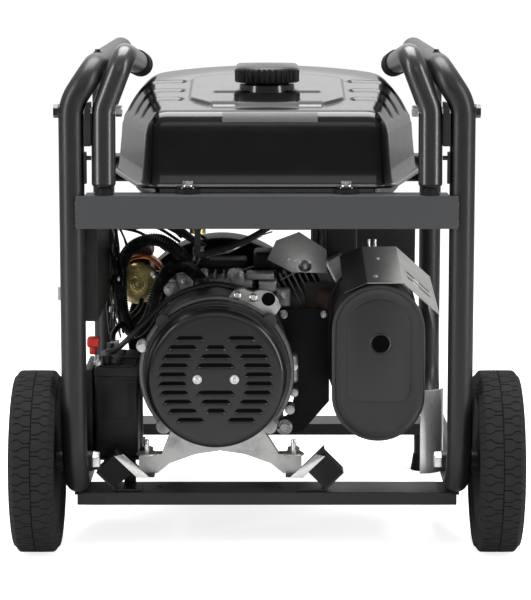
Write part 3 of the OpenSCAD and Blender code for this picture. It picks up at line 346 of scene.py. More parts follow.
@dataclass(frozen=True)
class Cast(Finish):
    """Cast metal with a sand-cast grain and darker, dirtier patches."""

    grain: float = 0.6
    grain_scale: float = 700.0
    dirt: float = 0.5
    dirt_colour: Colour = (0.06, 0.055, 0.05)

    def vary(self, graph: Graph) -> dict:
        """Grain as relief, oily patches in the colour.

        Args:
            graph: the material's graph.

        Returns:
            Signals by the name of the shader's socket.
        """
        grain = graph.noise(self.grain_scale, 4.0, rough=0.7)
        patches = graph.noise(28.0, 5.0, rough=0.65).step(0.45, 0.75) * self.dirt
        return {
            "Base Color": graph.blend(patches, self.colour, self.dirt_colour),
            "Roughness": (patches * 0.2 + grain * 0.16 + (self.roughness - 0.08)).clamped(),
            "Metallic": (self.metallic - patches * 0.5).clamped(),
            "Normal": graph.bump(grain, self.grain, 0.0004),
        }


@dataclass(frozen=True)
class PaintedShadeCast(Cast):
    """Cast metal whose upper part, above a height, is darkened and less metallic as painted shade."""

    height: float = 0.169
    fade: float = 0.016
    painted_shade_colour: Colour = (0.05, 0.05, 0.049)

    def vary(self, graph: Graph) -> dict:
        """Cast metal's signals, with painted shade above the height.

        Args:
            graph: the material's graph.

        Returns:
            Signals by the name of the shader's socket.
        """
        signals = super().vary(graph)
        up = graph.split(graph.place()).out(2)
        # Painted shade: above the height the casting turns dark and less metallic.
        shade_share = up.step(self.height - self.fade, self.height + self.fade)
        signals["Base Color"] = graph.blend(shade_share, signals["Base Color"], self.painted_shade_colour)
        signals["Metallic"] = (signals["Metallic"] - shade_share * 0.5).clamped()
        return signals


@dataclass(frozen=True)
class Brushed(Finish):
    """Rolled or turned metal with fine lines along one axis and faint stains."""

    along: tuple[float, float, float] = (1.0, 1.0, 0.05)
    stain: float = 0.3
    stain_colour: Colour = (0.2, 0.17, 0.13)

    def vary(self, graph: Graph) -> dict:
        """Lines in the gloss and relief, stains in the colour.

        Args:
            graph: the material's graph.

        Returns:
            Signals by the name of the shader's socket.
        """
        lines = graph.noise(900.0, 3.0, stretch=self.along)
        stains = graph.noise(35.0, 5.0, rough=0.65).step(0.48, 0.8) * self.stain
        return {
            "Base Color": graph.blend(stains, self.colour, self.stain_colour),
            "Roughness": (lines * 0.18 + stains * 0.3 + (self.roughness - 0.09)).clamped(),
            "Normal": graph.bump(lines, 0.25, 0.0002),
        }


@dataclass(frozen=True)
class CappedBolt(Brushed):
    """Plated bolts whose heads, beyond a distance from the middle plane, are painted black."""

    beyond: float = 0.262
    cap_colour: Colour = (0.011, 0.011, 0.0115)

    def vary(self, graph: Graph) -> dict:
        """Plated metal's signals, with black heads.

        Args:
            graph: the material's graph.

        Returns:
            Signals by the name of the shader's socket.
        """
        signals = super().vary(graph)
        across = graph.split(graph.place()).out(0)
        head = across * across > self.beyond * self.beyond
        signals["Base Color"] = graph.blend(head, signals["Base Color"], self.cap_colour)
        signals["Metallic"] = self.metallic - head * self.metallic
        return signals


@dataclass(frozen=True)
class Moulded(Finish):
    """Moulded plastic or rubber with a spark-eroded grain and rubbed patches."""

    grain: float = 0.4
    grain_scale: float = 1100.0
    bloom: float = 0.3
    bloom_colour: Colour = (0.07, 0.07, 0.072)

    def vary(self, graph: Graph) -> dict:
        """Grain as relief, a pale bloom in the colour and the gloss.

        Args:
            graph: the material's graph.

        Returns:
            Signals by the name of the shader's socket.
        """
        grain = graph.cells(self.grain_scale)
        bloom = graph.noise(22.0, 5.0, rough=0.6).step(0.45, 0.8) * self.bloom
        return {
            "Base Color": graph.blend(bloom * 0.5, self.colour, self.bloom_colour),
            "Roughness": (bloom * 0.25 + graph.noise(90.0, 2.0) * 0.08 + (self.roughness - 0.04)).clamped(),
            "Normal": graph.bump(grain, self.grain, 0.00025),
        }


@dataclass(frozen=True)
class Winding(Finish):
    """Varnished copper wire whose turns lie side by side across the generator."""

    wire: float = 0.0014

    def vary(self, graph: Graph) -> dict:
        """Wires as relief, with painted shade darkening the grooves between turns.

        Args:
            graph: the material's graph.

        Returns:
            Signals by the name of the shader's socket.
        """
        across = graph.split(graph.place()).out(0)
        wires = (across * (math.tau / self.wire)).sine() * 0.5 + 0.5
        # The colour drops to a third where the relief is lowest: painted shade between the turns.
        return {
            "Base Color": graph.blend(wires, tuple(0.35 * c for c in self.colour), self.colour),
            "Normal": graph.bump(wires, 0.8, 0.0005),
        }


class Skin(Enum):
    """Every finish of the generator."""

    FRAME = Paint("frame_paint", (0.0105, 0.0105, 0.011), 0.4, coat=0.14, coat_roughness=0.28,
                  specular=0.32, dust=0.2)
    HANDLE = Paint("handle_paint", (0.013, 0.013, 0.014), 0.33, coat=0.45, coat_roughness=0.22,
                   specular=0.45, dust=0.15)
    PLATE = Paint("cross_plate_paint", (0.05, 0.051, 0.053), 0.5, specular=0.3, dust=0.1)
    TANK = Paint("tank_paint", (0.0035, 0.0035, 0.0038), 0.3, coat=0.65, coat_roughness=0.1,
                 specular=0.12, peel=0.1, peel_scale=260.0, dust=0.12)
    HEAT = Paint("heat_paint", (0.026, 0.026, 0.027), 0.42, specular=0.4, peel=0.5, dust=0.3)
    SHIELD = Brushed("shield_steel", (0.42, 0.417, 0.41), 0.45, metallic=0.8, stain=0.35)
    SHIELD_DARK = Paint("shield_paint", (0.04, 0.04, 0.041), 0.45, dust=0.3)
    PLASTIC = Moulded("black_plastic", (0.0125, 0.0125, 0.013), 0.44, specular=0.28)
    COVER = Moulded("cover_plastic", (0.0095, 0.0095, 0.01), 0.36, coat=0.4, coat_roughness=0.12,
                    specular=0.25, grain=0.2, bloom=0.15)
    CONDUIT = Moulded("conduit_plastic", (0.008, 0.008, 0.0085), 0.36, specular=0.3, grain=0.2, bloom=0.15)
    RIM = Moulded("rim_plastic", (0.02, 0.02, 0.021), 0.45, specular=0.3)
    SOCKET = Moulded("socket_plastic", (0.02, 0.045, 0.13), 0.35, bloom=0.1)
    RED = Moulded("red_plastic", (0.55, 0.02, 0.014), 0.35, bloom=0.1, bloom_colour=(0.5, 0.1, 0.08))
    RUBBER = Moulded("soft_rubber", (0.0095, 0.0095, 0.0095), 0.62, specular=0.22, grain=0.5)
    TYRE = Moulded("tyre_rubber", (0.014, 0.014, 0.0142), 0.8, specular=0.2, grain=0.8,
                   grain_scale=800.0, bloom_colour=(0.02, 0.0196, 0.0193))
    ZINC = Brushed("zinc_plate", BARE_METAL, 0.28, metallic=1.0, along=EVERY_WAY, stain=0.25)
    PIVOT = CappedBolt("pivot_plate", BARE_METAL, 0.28, metallic=1.0, along=EVERY_WAY, stain=0.25)
    GOLD_ZINC = Brushed("gold_passivate", (0.6, 0.49, 0.2), 0.26, metallic=0.7, stain=0.15,
                        along=EVERY_WAY, stain_colour=(0.35, 0.3, 0.33))
    GALVANISED = Brushed("galvanised_sheet", (0.8, 0.8, 0.79), 0.3, metallic=0.6, stain=0.2)
    SHEET = Brushed("bright_sheet", (0.42, 0.418, 0.415), 0.32, metallic=0.95, stain=0.35)
    CASTING = Cast("aluminium_casting", (0.52, 0.52, 0.51), 0.42, metallic=0.9)
    # Bracket casting with painted shade on its upper part.
    BRACKET = PaintedShadeCast("bracket_casting", (0.52, 0.52, 0.51), 0.42, metallic=0.9)
    FIN = Cast("fin_casting", (0.2, 0.2, 0.197), 0.55, metallic=0.85, grain=0.4)
    RUST = Cast("scaled_steel", (0.07, 0.06, 0.052), 0.65, metallic=0.4, specular=0.3, dirt=0.8,
                dirt_colour=(0.1, 0.045, 0.02))
    DARK_STEEL = Brushed("dark_steel", (0.06, 0.06, 0.062), 0.42, metallic=0.85, stain=0.4)
    LAMINATION = Brushed("lamination_steel", (0.13, 0.13, 0.135), 0.45, metallic=0.9, along=(1.0, 0.05, 1.0))
    COPPER = Winding("copper_winding", (0.55, 0.22, 0.08), 0.35, metallic=0.9)
    COPPER_PLATE = Brushed("copper_plate", (0.62, 0.2, 0.07), 0.3, metallic=1.0, stain=0.4,
                           stain_colour=(0.18, 0.05, 0.03))
    BRASS = Brushed("brass", (0.6, 0.42, 0.16), 0.3, metallic=1.0)
    LABEL = Brushed("blank_foil", (0.08, 0.08, 0.08), 0.6, along=(0.05, 1.0, 1.0), stain=0.05)
    # Near-black that stands for shade in openings and under hoods: painted shadow.
    PAINTED_SHADOW = Finish("deep_shadow", (0.002, 0.002, 0.002), 0.8, specular=0.05)

    def material(self) -> bpy.types.Material:
        """The Blender material of this finish."""
        return self.value.material()


# ---- Making meshes ----


def packed_shift() -> Vector:
    """Shift between the construction frame, in which the side loops are centred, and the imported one."""
    low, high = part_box("frame_right")
    return Vector((0.0, (low[1] + high[1]) / 2 / MM, 0.0))


@dataclass(frozen=True)
class Span:
    """Box of a CAD node in the construction frame, in millimetres."""

    low: Vector
    high: Vector

    @classmethod
    def of(cls, node: str) -> "Span":
        """Box of one node at rest."""
        low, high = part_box(node)
        return cls(Vector(low) / MM - packed_shift(), Vector(high) / MM - packed_shift())

    @property
    def mid(self) -> Vector:
        """Middle of the box."""
        return (self.low + self.high) / 2

    @property
    def size(self) -> Vector:
        """Edges of the box."""
        return self.high - self.low


def turn(axis: str, degrees: float) -> Matrix:
    """Rotation matrix about a main axis."""
    return Matrix.Rotation(math.radians(degrees), 4, axis)


def shift(x: float, y: float, z: float) -> Matrix:
    """Translation matrix."""
    return Matrix.Translation((x, y, z))


def facing(direction: Point) -> Matrix:
    """Rotation that turns +Z to a direction."""
    return Vector(direction).to_track_quat("Z", "Y").to_matrix().to_4x4()


def upright(place: Point) -> Matrix:
    """Place of a piece drawn flat that stands up and faces the near end."""
    return Matrix.Translation(place) @ turn("X", 90)


def leaning(degrees: float) -> Vector:
    """Unit vector that points up and leans towards the middle plane, on the right-hand side."""
    return Vector((-math.sin(math.radians(degrees)), 0, math.cos(math.radians(degrees))))


def rise(value: float, low: float, high: float) -> float:
    """Smooth step from 0 at low to 1 at high."""
    t = min(max((value - low) / (high - low), 0.0), 1.0)
    return t * t * (3 - 2 * t)


def only(made: Iterable, kind: type) -> list:
    """Elements of one kind among those that an operator made."""
    return [item for item in made if isinstance(item, kind)]


class Form:
    """A mesh under construction, in millimetres in the generator's own frame."""

    replaced: set[str] = set()

    def __init__(self) -> None:
        """Starts an empty mesh."""
        self.bm = bmesh.new()

    def placed(self, verts: Iterable[BMVert], at: Matrix) -> list:
        """Moves new vertices into place.

        Args:
            verts: the vertices.
            at: their place.

        Returns:
            The vertices as a list.
        """
        verts = list(verts)
        bmesh.ops.transform(self.bm, matrix=at, verts=verts)
        return verts

    def soften(self, verts: Iterable[BMVert], width: float, segments: int = 2,
               angle: float = 25.0) -> None:
        """Bevels the sharp edges among some vertices.

        Args:
            verts: vertices of the piece.
            width: width of the bevel.
            segments: its segments.
            angle: least angle of an edge that is bevelled.
        """
        chosen = set(verts)
        edges = [e for e in self.bm.edges if e.verts[0] in chosen and e.verts[1] in chosen
                 and len(e.link_faces) == 2 and e.calc_face_angle(0.0) > math.radians(angle)]
        bmesh.ops.bevel(self.bm, geom=edges, offset=width, affect="EDGES", segments=segments, profile=0.5,
                        material=-1, clamp_overlap=True)

    def block(self, low: Point, high: Point, round_by: float = 0.8, at: Matrix = Matrix(),
              segments: int = 2) -> list:
        """Adds a block with rounded edges.

        Args:
            low: lowest corner.
            high: highest corner.
            round_by: width of the bevel.
            at: turn and place of the block.
            segments: segments of the bevel.

        Returns:
            Its first vertices.
        """
        low, high = Vector(low), Vector(high)
        scale = Matrix.Diagonal((*(high - low), 1.0))
        verts = bmesh.ops.create_cube(self.bm, size=1.0)["verts"]
        self.placed(verts, at @ Matrix.Translation((low + high) / 2) @ scale)
        if round_by > 0:
            self.soften(verts, round_by, segments)
        return verts

    def rod(self, start: Point, end: Point, radius: float, sides: int = 24, round_by: float = 0.0) -> list:
        """Adds a round bar between two points.

        Args:
            start: middle of the first end.
            end: middle of the second end.
            radius: its radius.
            sides: number of sides.
            round_by: bevel of the end edges.

        Returns:
            Its first vertices.
        """
        start, end = Vector(start), Vector(end)
        verts = bmesh.ops.create_cone(self.bm, cap_ends=True, segments=sides, radius1=radius,
                                      radius2=radius, depth=(end - start).length)["verts"]
        self.placed(verts, Matrix.Translation((start + end) / 2) @ facing(end - start))
        if round_by > 0:
            self.soften(verts, round_by, 2, 50.0)
        return verts

    def lathe(self, profile: Sequence[tuple], at: Matrix = Matrix(), sides: int = 64) -> list:
        """Adds a turned piece.

        Args:
            profile: pairs of radius and height, drawn so that the outside lies to the right of the path.
            at: place of the turning axis, +Z before.
            sides: segments of the full turn.

        Returns:
            Its vertices.
        """
        points = [self.bm.verts.new((max(r, 0.0), 0.0, h)) for r, h in profile]
        edges = [self.bm.edges.new(pair) for pair in zip(points, points[1:])]
        made = bmesh.ops.spin(self.bm, geom=points + edges, cent=(0, 0, 0), axis=(0, 0, 1), angle=math.tau,
                              steps=sides, use_merge=True, use_duplicate=False)
        verts = set(points)
        verts.update(only(made["geom_last"], BMVert))
        grown = verts
        while grown:
            grown = {e.other_vert(v) for v in grown if v.is_valid for e in v.link_edges} - verts
            verts |= grown
        verts = [v for v in verts if v.is_valid]
        bmesh.ops.remove_doubles(self.bm, verts=verts, dist=0.001)
        return self.placed([v for v in verts if v.is_valid], at)

    def tube(self, path: Sequence[Point], radius: Union[float, Callable[[float], float]],
             sides: int = 20) -> list:
        """Adds a round tube along a path by drawing a ring from point to point.

        Args:
            path: points of the centreline.
            radius: radius, or a function of the share of the path passed.
            sides: sides of the ring.

        Returns:
            Its vertices.
        """
        points = [Vector(p) for p in path]
        size = radius if callable(radius) else (lambda share: radius)
        last = len(points) - 1
        ring = bmesh.ops.create_circle(self.bm, cap_ends=False, radius=1.0, segments=sides)["verts"]
        edges = start_edges = list({e for v in ring for e in v.link_edges})
        heading = (points[1] - points[0]).normalized()
        verts = list(ring)
        self.placed(ring, Matrix.Translation(points[0]) @ facing(heading) @ Matrix.Scale(size(0.0), 4))
        for i in range(1, last + 1):
            after = points[min(i + 1, last)] - points[i - 1]
            new_heading = (after if after.length > 1e-6 else points[i] - points[i - 1]).normalized()
            swing = heading.rotation_difference(new_heading).to_matrix().to_4x4()
            made = bmesh.ops.extrude_edge_only(self.bm, edges=edges)["geom"]
            ring, edges = only(made, BMVert), only(made, BMEdge)
            grow = Matrix.Scale(size(i / last) / max(size((i - 1) / last), 1e-6), 4)
            move = Matrix.Translation(points[i]) @ swing @ grow @ Matrix.Translation(-points[i - 1])
            bmesh.ops.transform(self.bm, verts=ring, matrix=move)
            heading = new_heading
            verts += ring
        for loop in (start_edges, edges):
            bmesh.ops.contextual_create(self.bm, geom=loop)
        return verts

    def plate(self, outline: Sequence[Point], thickness: float, at: Matrix = Matrix(),
              round_by: float = 0.0) -> list:
        """Adds a flat sheet with an outline in X and Y, thick towards +Z.

        Args:
            outline: corners in order.
            thickness: thickness of the sheet.
            at: place of the sheet.
            round_by: bevel of its edges.

        Returns:
            Its first vertices.
        """
        corners = [self.bm.verts.new((p[0], p[1], 0.0)) for p in outline]
        face = self.bm.faces.new(corners)
        top = only(bmesh.ops.extrude_face_region(self.bm, geom=[face])["geom"], BMVert)
        bmesh.ops.translate(self.bm, verts=top, vec=(0, 0, thickness))
        verts = corners + top
        self.placed(verts, at)
        if round_by > 0:
            self.soften(verts, round_by)
        return verts

    def hex_bolt(self, centre: Point, out: Point, across: float = 13.0, head: float = 5.3,
                 washer: float = 9.0) -> None:
        """Adds a hexagon head on a washer.

        Args:
            centre: middle of the washer's underside.
            out: direction in which the head stands out.
            across: width across the flats.
            head: height of the head.
            washer: radius of the washer.
        """
        centre, out = Vector(centre), Vector(out).normalized()
        if washer > 0:
            self.rod(centre, centre + out * 1.6, washer, 32, 0.3)
            centre = centre + out * 1.6
        self.rod(centre, centre + out * head, across / math.sqrt(3), 6, 0.5)
        self.rod(centre + out * head, centre + out * (head + 0.3), across * 0.42, 24)

    def cross_screw(self, centre: Point, out: Point, radius: float = 5.0) -> None:
        """Adds a round-headed screw with a cross recess shown by four raised quarters.

        Args:
            centre: middle of the head's underside.
            out: direction in which the head stands out.
            radius: radius of the head.
        """
        at = Matrix.Translation(centre) @ facing(out)
        self.lathe([(0, radius * 0.5), (radius * 0.3, radius * 0.5), (radius * 0.75, radius * 0.42),
                    (radius * 0.97, radius * 0.2), (radius, 0)], at, 28)
        low, high = radius * Vector((0.2, -0.16, 0.3)), radius * Vector((0.62, 0.16, 0.62))
        for quarter in range(4):
            self.block(low, high, 0.15, at @ turn("Z", 45 + 90 * quarter), 1)

    def finish(self, name: str, skin: Union[Skin, Sequence[Skin]], stands_for: Sequence[str] = (),
               body: str = "generator", smooth: float = 38.0) -> None:
        """Turns the mesh into a piece that rides on a body.

        Args:
            name: the piece's name.
            skin: its finish, or the finishes of its material numbers.
            stands_for: CAD nodes that it replaces.
            body: body it rides on.
            smooth: edges under this angle, in degrees, are shaded smooth.
        """
        bmesh.ops.translate(self.bm, vec=packed_shift(), verts=self.bm.verts)
        bmesh.ops.scale(self.bm, vec=(MM, MM, MM), verts=self.bm.verts)
        bmesh.ops.recalc_face_normals(self.bm, faces=self.bm.faces)
        mesh = bpy.data.meshes.new(name)
        self.bm.to_mesh(mesh)
        self.bm.free()
        mesh.shade_smooth()
        mesh.set_sharp_from_angle(angle=math.radians(smooth))
        piece = bpy.data.objects.new(name, mesh)
        bpy.context.scene.collection.objects.link(piece)
        for one in [skin] if isinstance(skin, Skin) else skin:
            mesh.materials.append(one.material())
        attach(piece, body)
        if stands_for:
            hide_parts(*stands_for)
            self.replaced.update(stands_for)
        LOG.info("made %s with %d faces", name, len(mesh.polygons))


def arc(centre: Point, radius: float, start: float, end: float, steps: int) -> list[Flat]:
    """Points of a flat arc.

    Args:
        centre: middle of the arc.
        radius: its radius.
        start: first angle, in degrees.
        end: last angle, in degrees.
        steps: number of stretches.

    Returns:
        The points, ends included.
    """
    angles = (math.radians(start + (end - start) * i / steps) for i in range(steps + 1))
    return [(centre[0] + radius * math.cos(a), centre[1] + radius * math.sin(a)) for a in angles]


def rounded(low: Point, high: Point, radius: float, steps: int = 6) -> list[Flat]:
    """Outline of a rectangle with round corners.

    Args:
        low: lower left corner.
        high: upper right corner.
        radius: radius of the corners.
        steps: stretches of each corner.

    Returns:
        The corners, anticlockwise from the lower right one.
    """
    (x0, y0), (x1, y1) = low, high
    return (arc((x1 - radius, y0 + radius), radius, -90, 0, steps)
            + arc((x1 - radius, y1 - radius), radius, 0, 90, steps)
            + arc((x0 + radius, y1 - radius), radius, 90, 180, steps)
            + arc((x0 + radius, y0 + radius), radius, 180, 270, steps))


def band(centre: Point, outer: float, inner: float, start: float, end: float) -> list[Flat]:
    """Outline of a bent strip between two arcs.

    Args:
        centre: middle of both arcs.
        outer: radius of the outer arc.
        inner: radius of the inner arc.
        start: first angle, in degrees.
        end: last angle, in degrees.

    Returns:
        The corners in order.
    """
    return arc(centre, outer, start, end, 20) + list(reversed(arc(centre, inner, start, end, 20)))


def smooth_path(route: Sequence[Point], steps: int = 6) -> list[Vector]:
    """Points of a smooth curve through a route.

    Args:
        route: points that the curve passes.
        steps: points for each stretch.

    Returns:
        The points of the curve.
    """
    points = [Vector(p) for p in route]
    last = len(points) - 1
    path = []
    for i in range(last):
        before, here, there, after = points[max(i - 1, 0)], points[i], points[i + 1], points[min(i + 2, last)]
        for k in range(steps):
            t = k / steps
            leave, arrive = (there - before) / 2, (after - here) / 2
            path.append((2 * t**3 - 3 * t**2 + 1) * here + (t**3 - 2 * t**2 + t) * leave
                        + (3 * t**2 - 2 * t**3) * there + (t**3 - t**2) * arrive)
    return path + [points[-1]]


def corner(at: Point, before: Point, after: Point, tangent: float, steps: int = 8) -> list[Vector]:
    """Points of a round bend.

    Args:
        at: the corner.
        before: direction of travel before it.
        after: direction of travel after it.
        tangent: distance from the corner at which the bend starts and ends.
        steps: number of stretches.

    Returns:
        The points, ends included.
    """
    at, before, after = Vector(at), Vector(before).normalized(), Vector(after).normalized()
    angle = before.angle(after)
    radius = tangent / math.tan(angle / 2)
    side = (after - before.dot(after) * before).normalized()
    centre = at - tangent * before + radius * side
    turns = [angle * k / steps for k in range(steps + 1)]
    return [centre - radius * side * math.cos(a) + radius * before * math.sin(a) for a in turns]


# ---- Frame, handles ----


@dataclass
class TubeFrame:
    """Side loops of bent tube with their weld seams and cap screws."""

    radius: float = 17.0
    half_width: float = 260.0
    half_length: float = 322.0
    lean_height: float = 620.0
    top_height: float = 668.0
    lean: float = 33.0
    bottom_bend: float = 70.0
    lean_bend: float = 18.0
    top_bend: float = 38.0
    sides: int = 40
    boss: float = 9.5
    bead: float = 2.3
    bead_step: float = 1.9
    vent_place: float = -250.0
    middle: float = field(init=False)
    top_x: float = field(init=False)

    def __post_init__(self) -> None:
        """Takes the frame's middle from the CAD side loop, and works out where the top run lies."""
        self.middle = Span.of("frame_right").mid.y
        leaning_rise = self.top_height - self.lean_height
        self.top_x = self.half_width - leaning_rise * math.tan(math.radians(self.lean))

    def centreline(self, side: int) -> list[Vector]:
        """Closed centreline of one side loop.

        Args:
            side: 1 for the right-hand loop, -1 for the left.

        Returns:
            Its points, from the middle of the bottom run and back to it.
        """
        low = Span.of("frame_right").low.z + self.radius
        lean = leaning(self.lean)
        half = corner((self.half_width, -self.half_length, low), NEAR, UP, self.bottom_bend, 16)
        half += corner((self.half_width, -self.half_length, self.lean_height), UP, lean, self.lean_bend, 8)
        half += corner((self.top_x, -self.half_length, self.top_height), lean, -NEAR, self.top_bend, 14)
        far = [Vector((p.x, -p.y, p.z)) for p in reversed(half)]
        start = Vector((self.half_width, 0, low))
        return [Vector((side * p.x, p.y + self.middle, p.z)) for p in [start] + half + far + [start]]

    def build(self) -> None:
        """Makes both loops."""
        for side, name in SIDES.items():
            form = Form()
            form.tube(self.centreline(side), self.radius, self.sides)
            x, y = side * (self.half_width + self.radius), self.middle - self.half_length
            form.rod((x - side * 3, y, PIVOT_HEIGHT), (x + side * 0.15, y, PIVOT_HEIGHT), self.boss, 32, 0.3)
            form.finish(f"side_tube_{name}", Skin.FRAME, [f"frame_{name}"])
            self.add_welds(side, name)
            self.add_vent_screw(side, name)

    def add_welds(self, side: int, name: str) -> None:
        """Adds the beads where the cross members meet the uprights.

        Args:
            side: side of the frame.
            name: its name.
        """
        form = Form()
        for k, (node, sign) in enumerate((("cross_plate", -1), ("rear_plate", 1))):
            plate = Span.of(node)
            x = side * (plate.size.x / 2 - 1)
            y = (plate.low.y if sign < 0 else plate.high.y) - sign * 3.4
            beads = [Vector((x + side * 0.9 * math.sin(i * 2.1), y, plate.low.z + 3 + i * self.bead_step))
                     for i in range(int((plate.size.z - 6) / self.bead_step))]
            form.tube(beads, lambda share: self.bead + 0.35 * math.sin(share * 130 + k), 8)
        bar = Span.of("crossbars")
        for y in (bar.low.y + 1, bar.high.y - 1):
            beads = [Vector((side * (self.half_width - 9 + i * 1.8), y, bar.high.z - 1.5)) for i in range(9)]
            form.tube(beads, lambda share: self.bead - 0.1 + 0.3 * math.sin(share * 40), 8)
        form.finish(f"weld_beads_{name}", Skin.FRAME)

    def add_vent_screw(self, side: int, name: str) -> None:
        """Adds the small screw on the top run that closes the tube's vent.

        Args:
            side: side of the frame.
            name: its name.
        """
        form = Form()
        base = Vector((side * self.top_x, self.middle + self.vent_place, self.top_height + self.radius - 0.6))
        form.rod(base, base + 1.4 * UP, 5.4, 24, 0.3)
        form.rod(base + 1.2 * UP, base + 4.6 * UP, 4.0, 6, 0.5)
        form.finish(f"vent_screw_{name}", Skin.FRAME)


@dataclass
class Handle:
    """Folding handle: bent tube, grip and end plug."""

    side: int
    radius: float = 16.0
    pivot_x: float = 217.0
    droop: float = 4.5
    lean: float = 21.0
    lean_from: float = 2.0
    lean_bend: float = 8.0
    arm_bend: float = 26.0
    rise: float = 75.0
    reach: float = 430.0
    stub: float = 97.0
    grip_length: float = 120.0
    grip_rings: int = 14

    @property
    def name(self) -> str:
        """Side of the handle as a word."""
        return SIDES[self.side]

    def pose(self) -> Matrix:
        """Place of the stored handle, drawn from its pivot for the right-hand side."""
        pivot = shift(self.pivot_x, Span.of("pivot_bolts").mid.y, PIVOT_HEIGHT)
        return Matrix.Diagonal((self.side, 1, 1, 1)) @ pivot @ turn("X", -self.droop)

    def centreline(self) -> list[Vector]:
        """Centreline of the bent tube, drawn from the pivot.

        Returns:
            Its points, from the stub's end to the arm's end.
        """
        lean = leaning(self.lean)
        arm_x = -(self.rise - self.lean_from) * math.tan(math.radians(self.lean))
        points = [Vector((0, 0, -self.stub))]
        points += corner((0, 0, self.lean_from), UP, lean, self.lean_bend, 8)
        points += corner((arm_x, 0, self.rise), lean, -NEAR, self.arm_bend, 14)
        return points + [Vector((arm_x, self.reach, self.rise))]

    def build(self) -> None:
        """Makes the tube, the grip and the end plug of one handle."""
        body = f"carry_handle_{self.name}"
        pose = self.pose()
        path = [pose @ p for p in self.centreline()]
        form = Form()
        form.tube(path, self.radius, 40)
        form.finish(f"bent_handle_{self.name}", Skin.HANDLE, [f"handle_{self.name}"], body)
        end, along = path[-1], (path[-1] - path[-2]).normalized()
        grip = Form()
        start = Matrix.Translation(end - along * self.grip_length) @ facing(along)
        grip.lathe(self.grip_profile(), start, 40)
        plug = [(0, -2.4), (self.radius - 2.6, -2.4), (self.radius - 0.7, -1.4), (self.radius - 0.5, 0.0),
                (self.radius - 3, 0.2)]
        grip.lathe(plug, pose @ shift(0, 0, -self.stub), 40)
        grip.finish(f"grip_sleeve_{self.name}", Skin.RUBBER, [f"grip_{self.name}"], body)

    def grip_profile(self) -> list[Flat]:
        """Ringed outside of the grip.

        Returns:
            Pairs of radius and height from the grip's start.
        """
        out, groove = self.radius + 2.4, self.radius + 1.4
        profile = [(self.radius, 0), (self.radius + 1.9, 0), (out, 1.5)]
        for k in range(self.grip_rings):
            z = 8 + k * (self.grip_length - 20) / self.grip_rings
            profile += [(out, z), (groove, z + 1.0), (groove, z + 2.4), (out, z + 3.4)]
        return profile + [(out, self.grip_length - 4), (self.radius + 1.2, self.grip_length + 0.5),
                          (self.radius - 5, self.grip_length + 2.6), (0, self.grip_length + 2.8)]


# ---- Tank ----


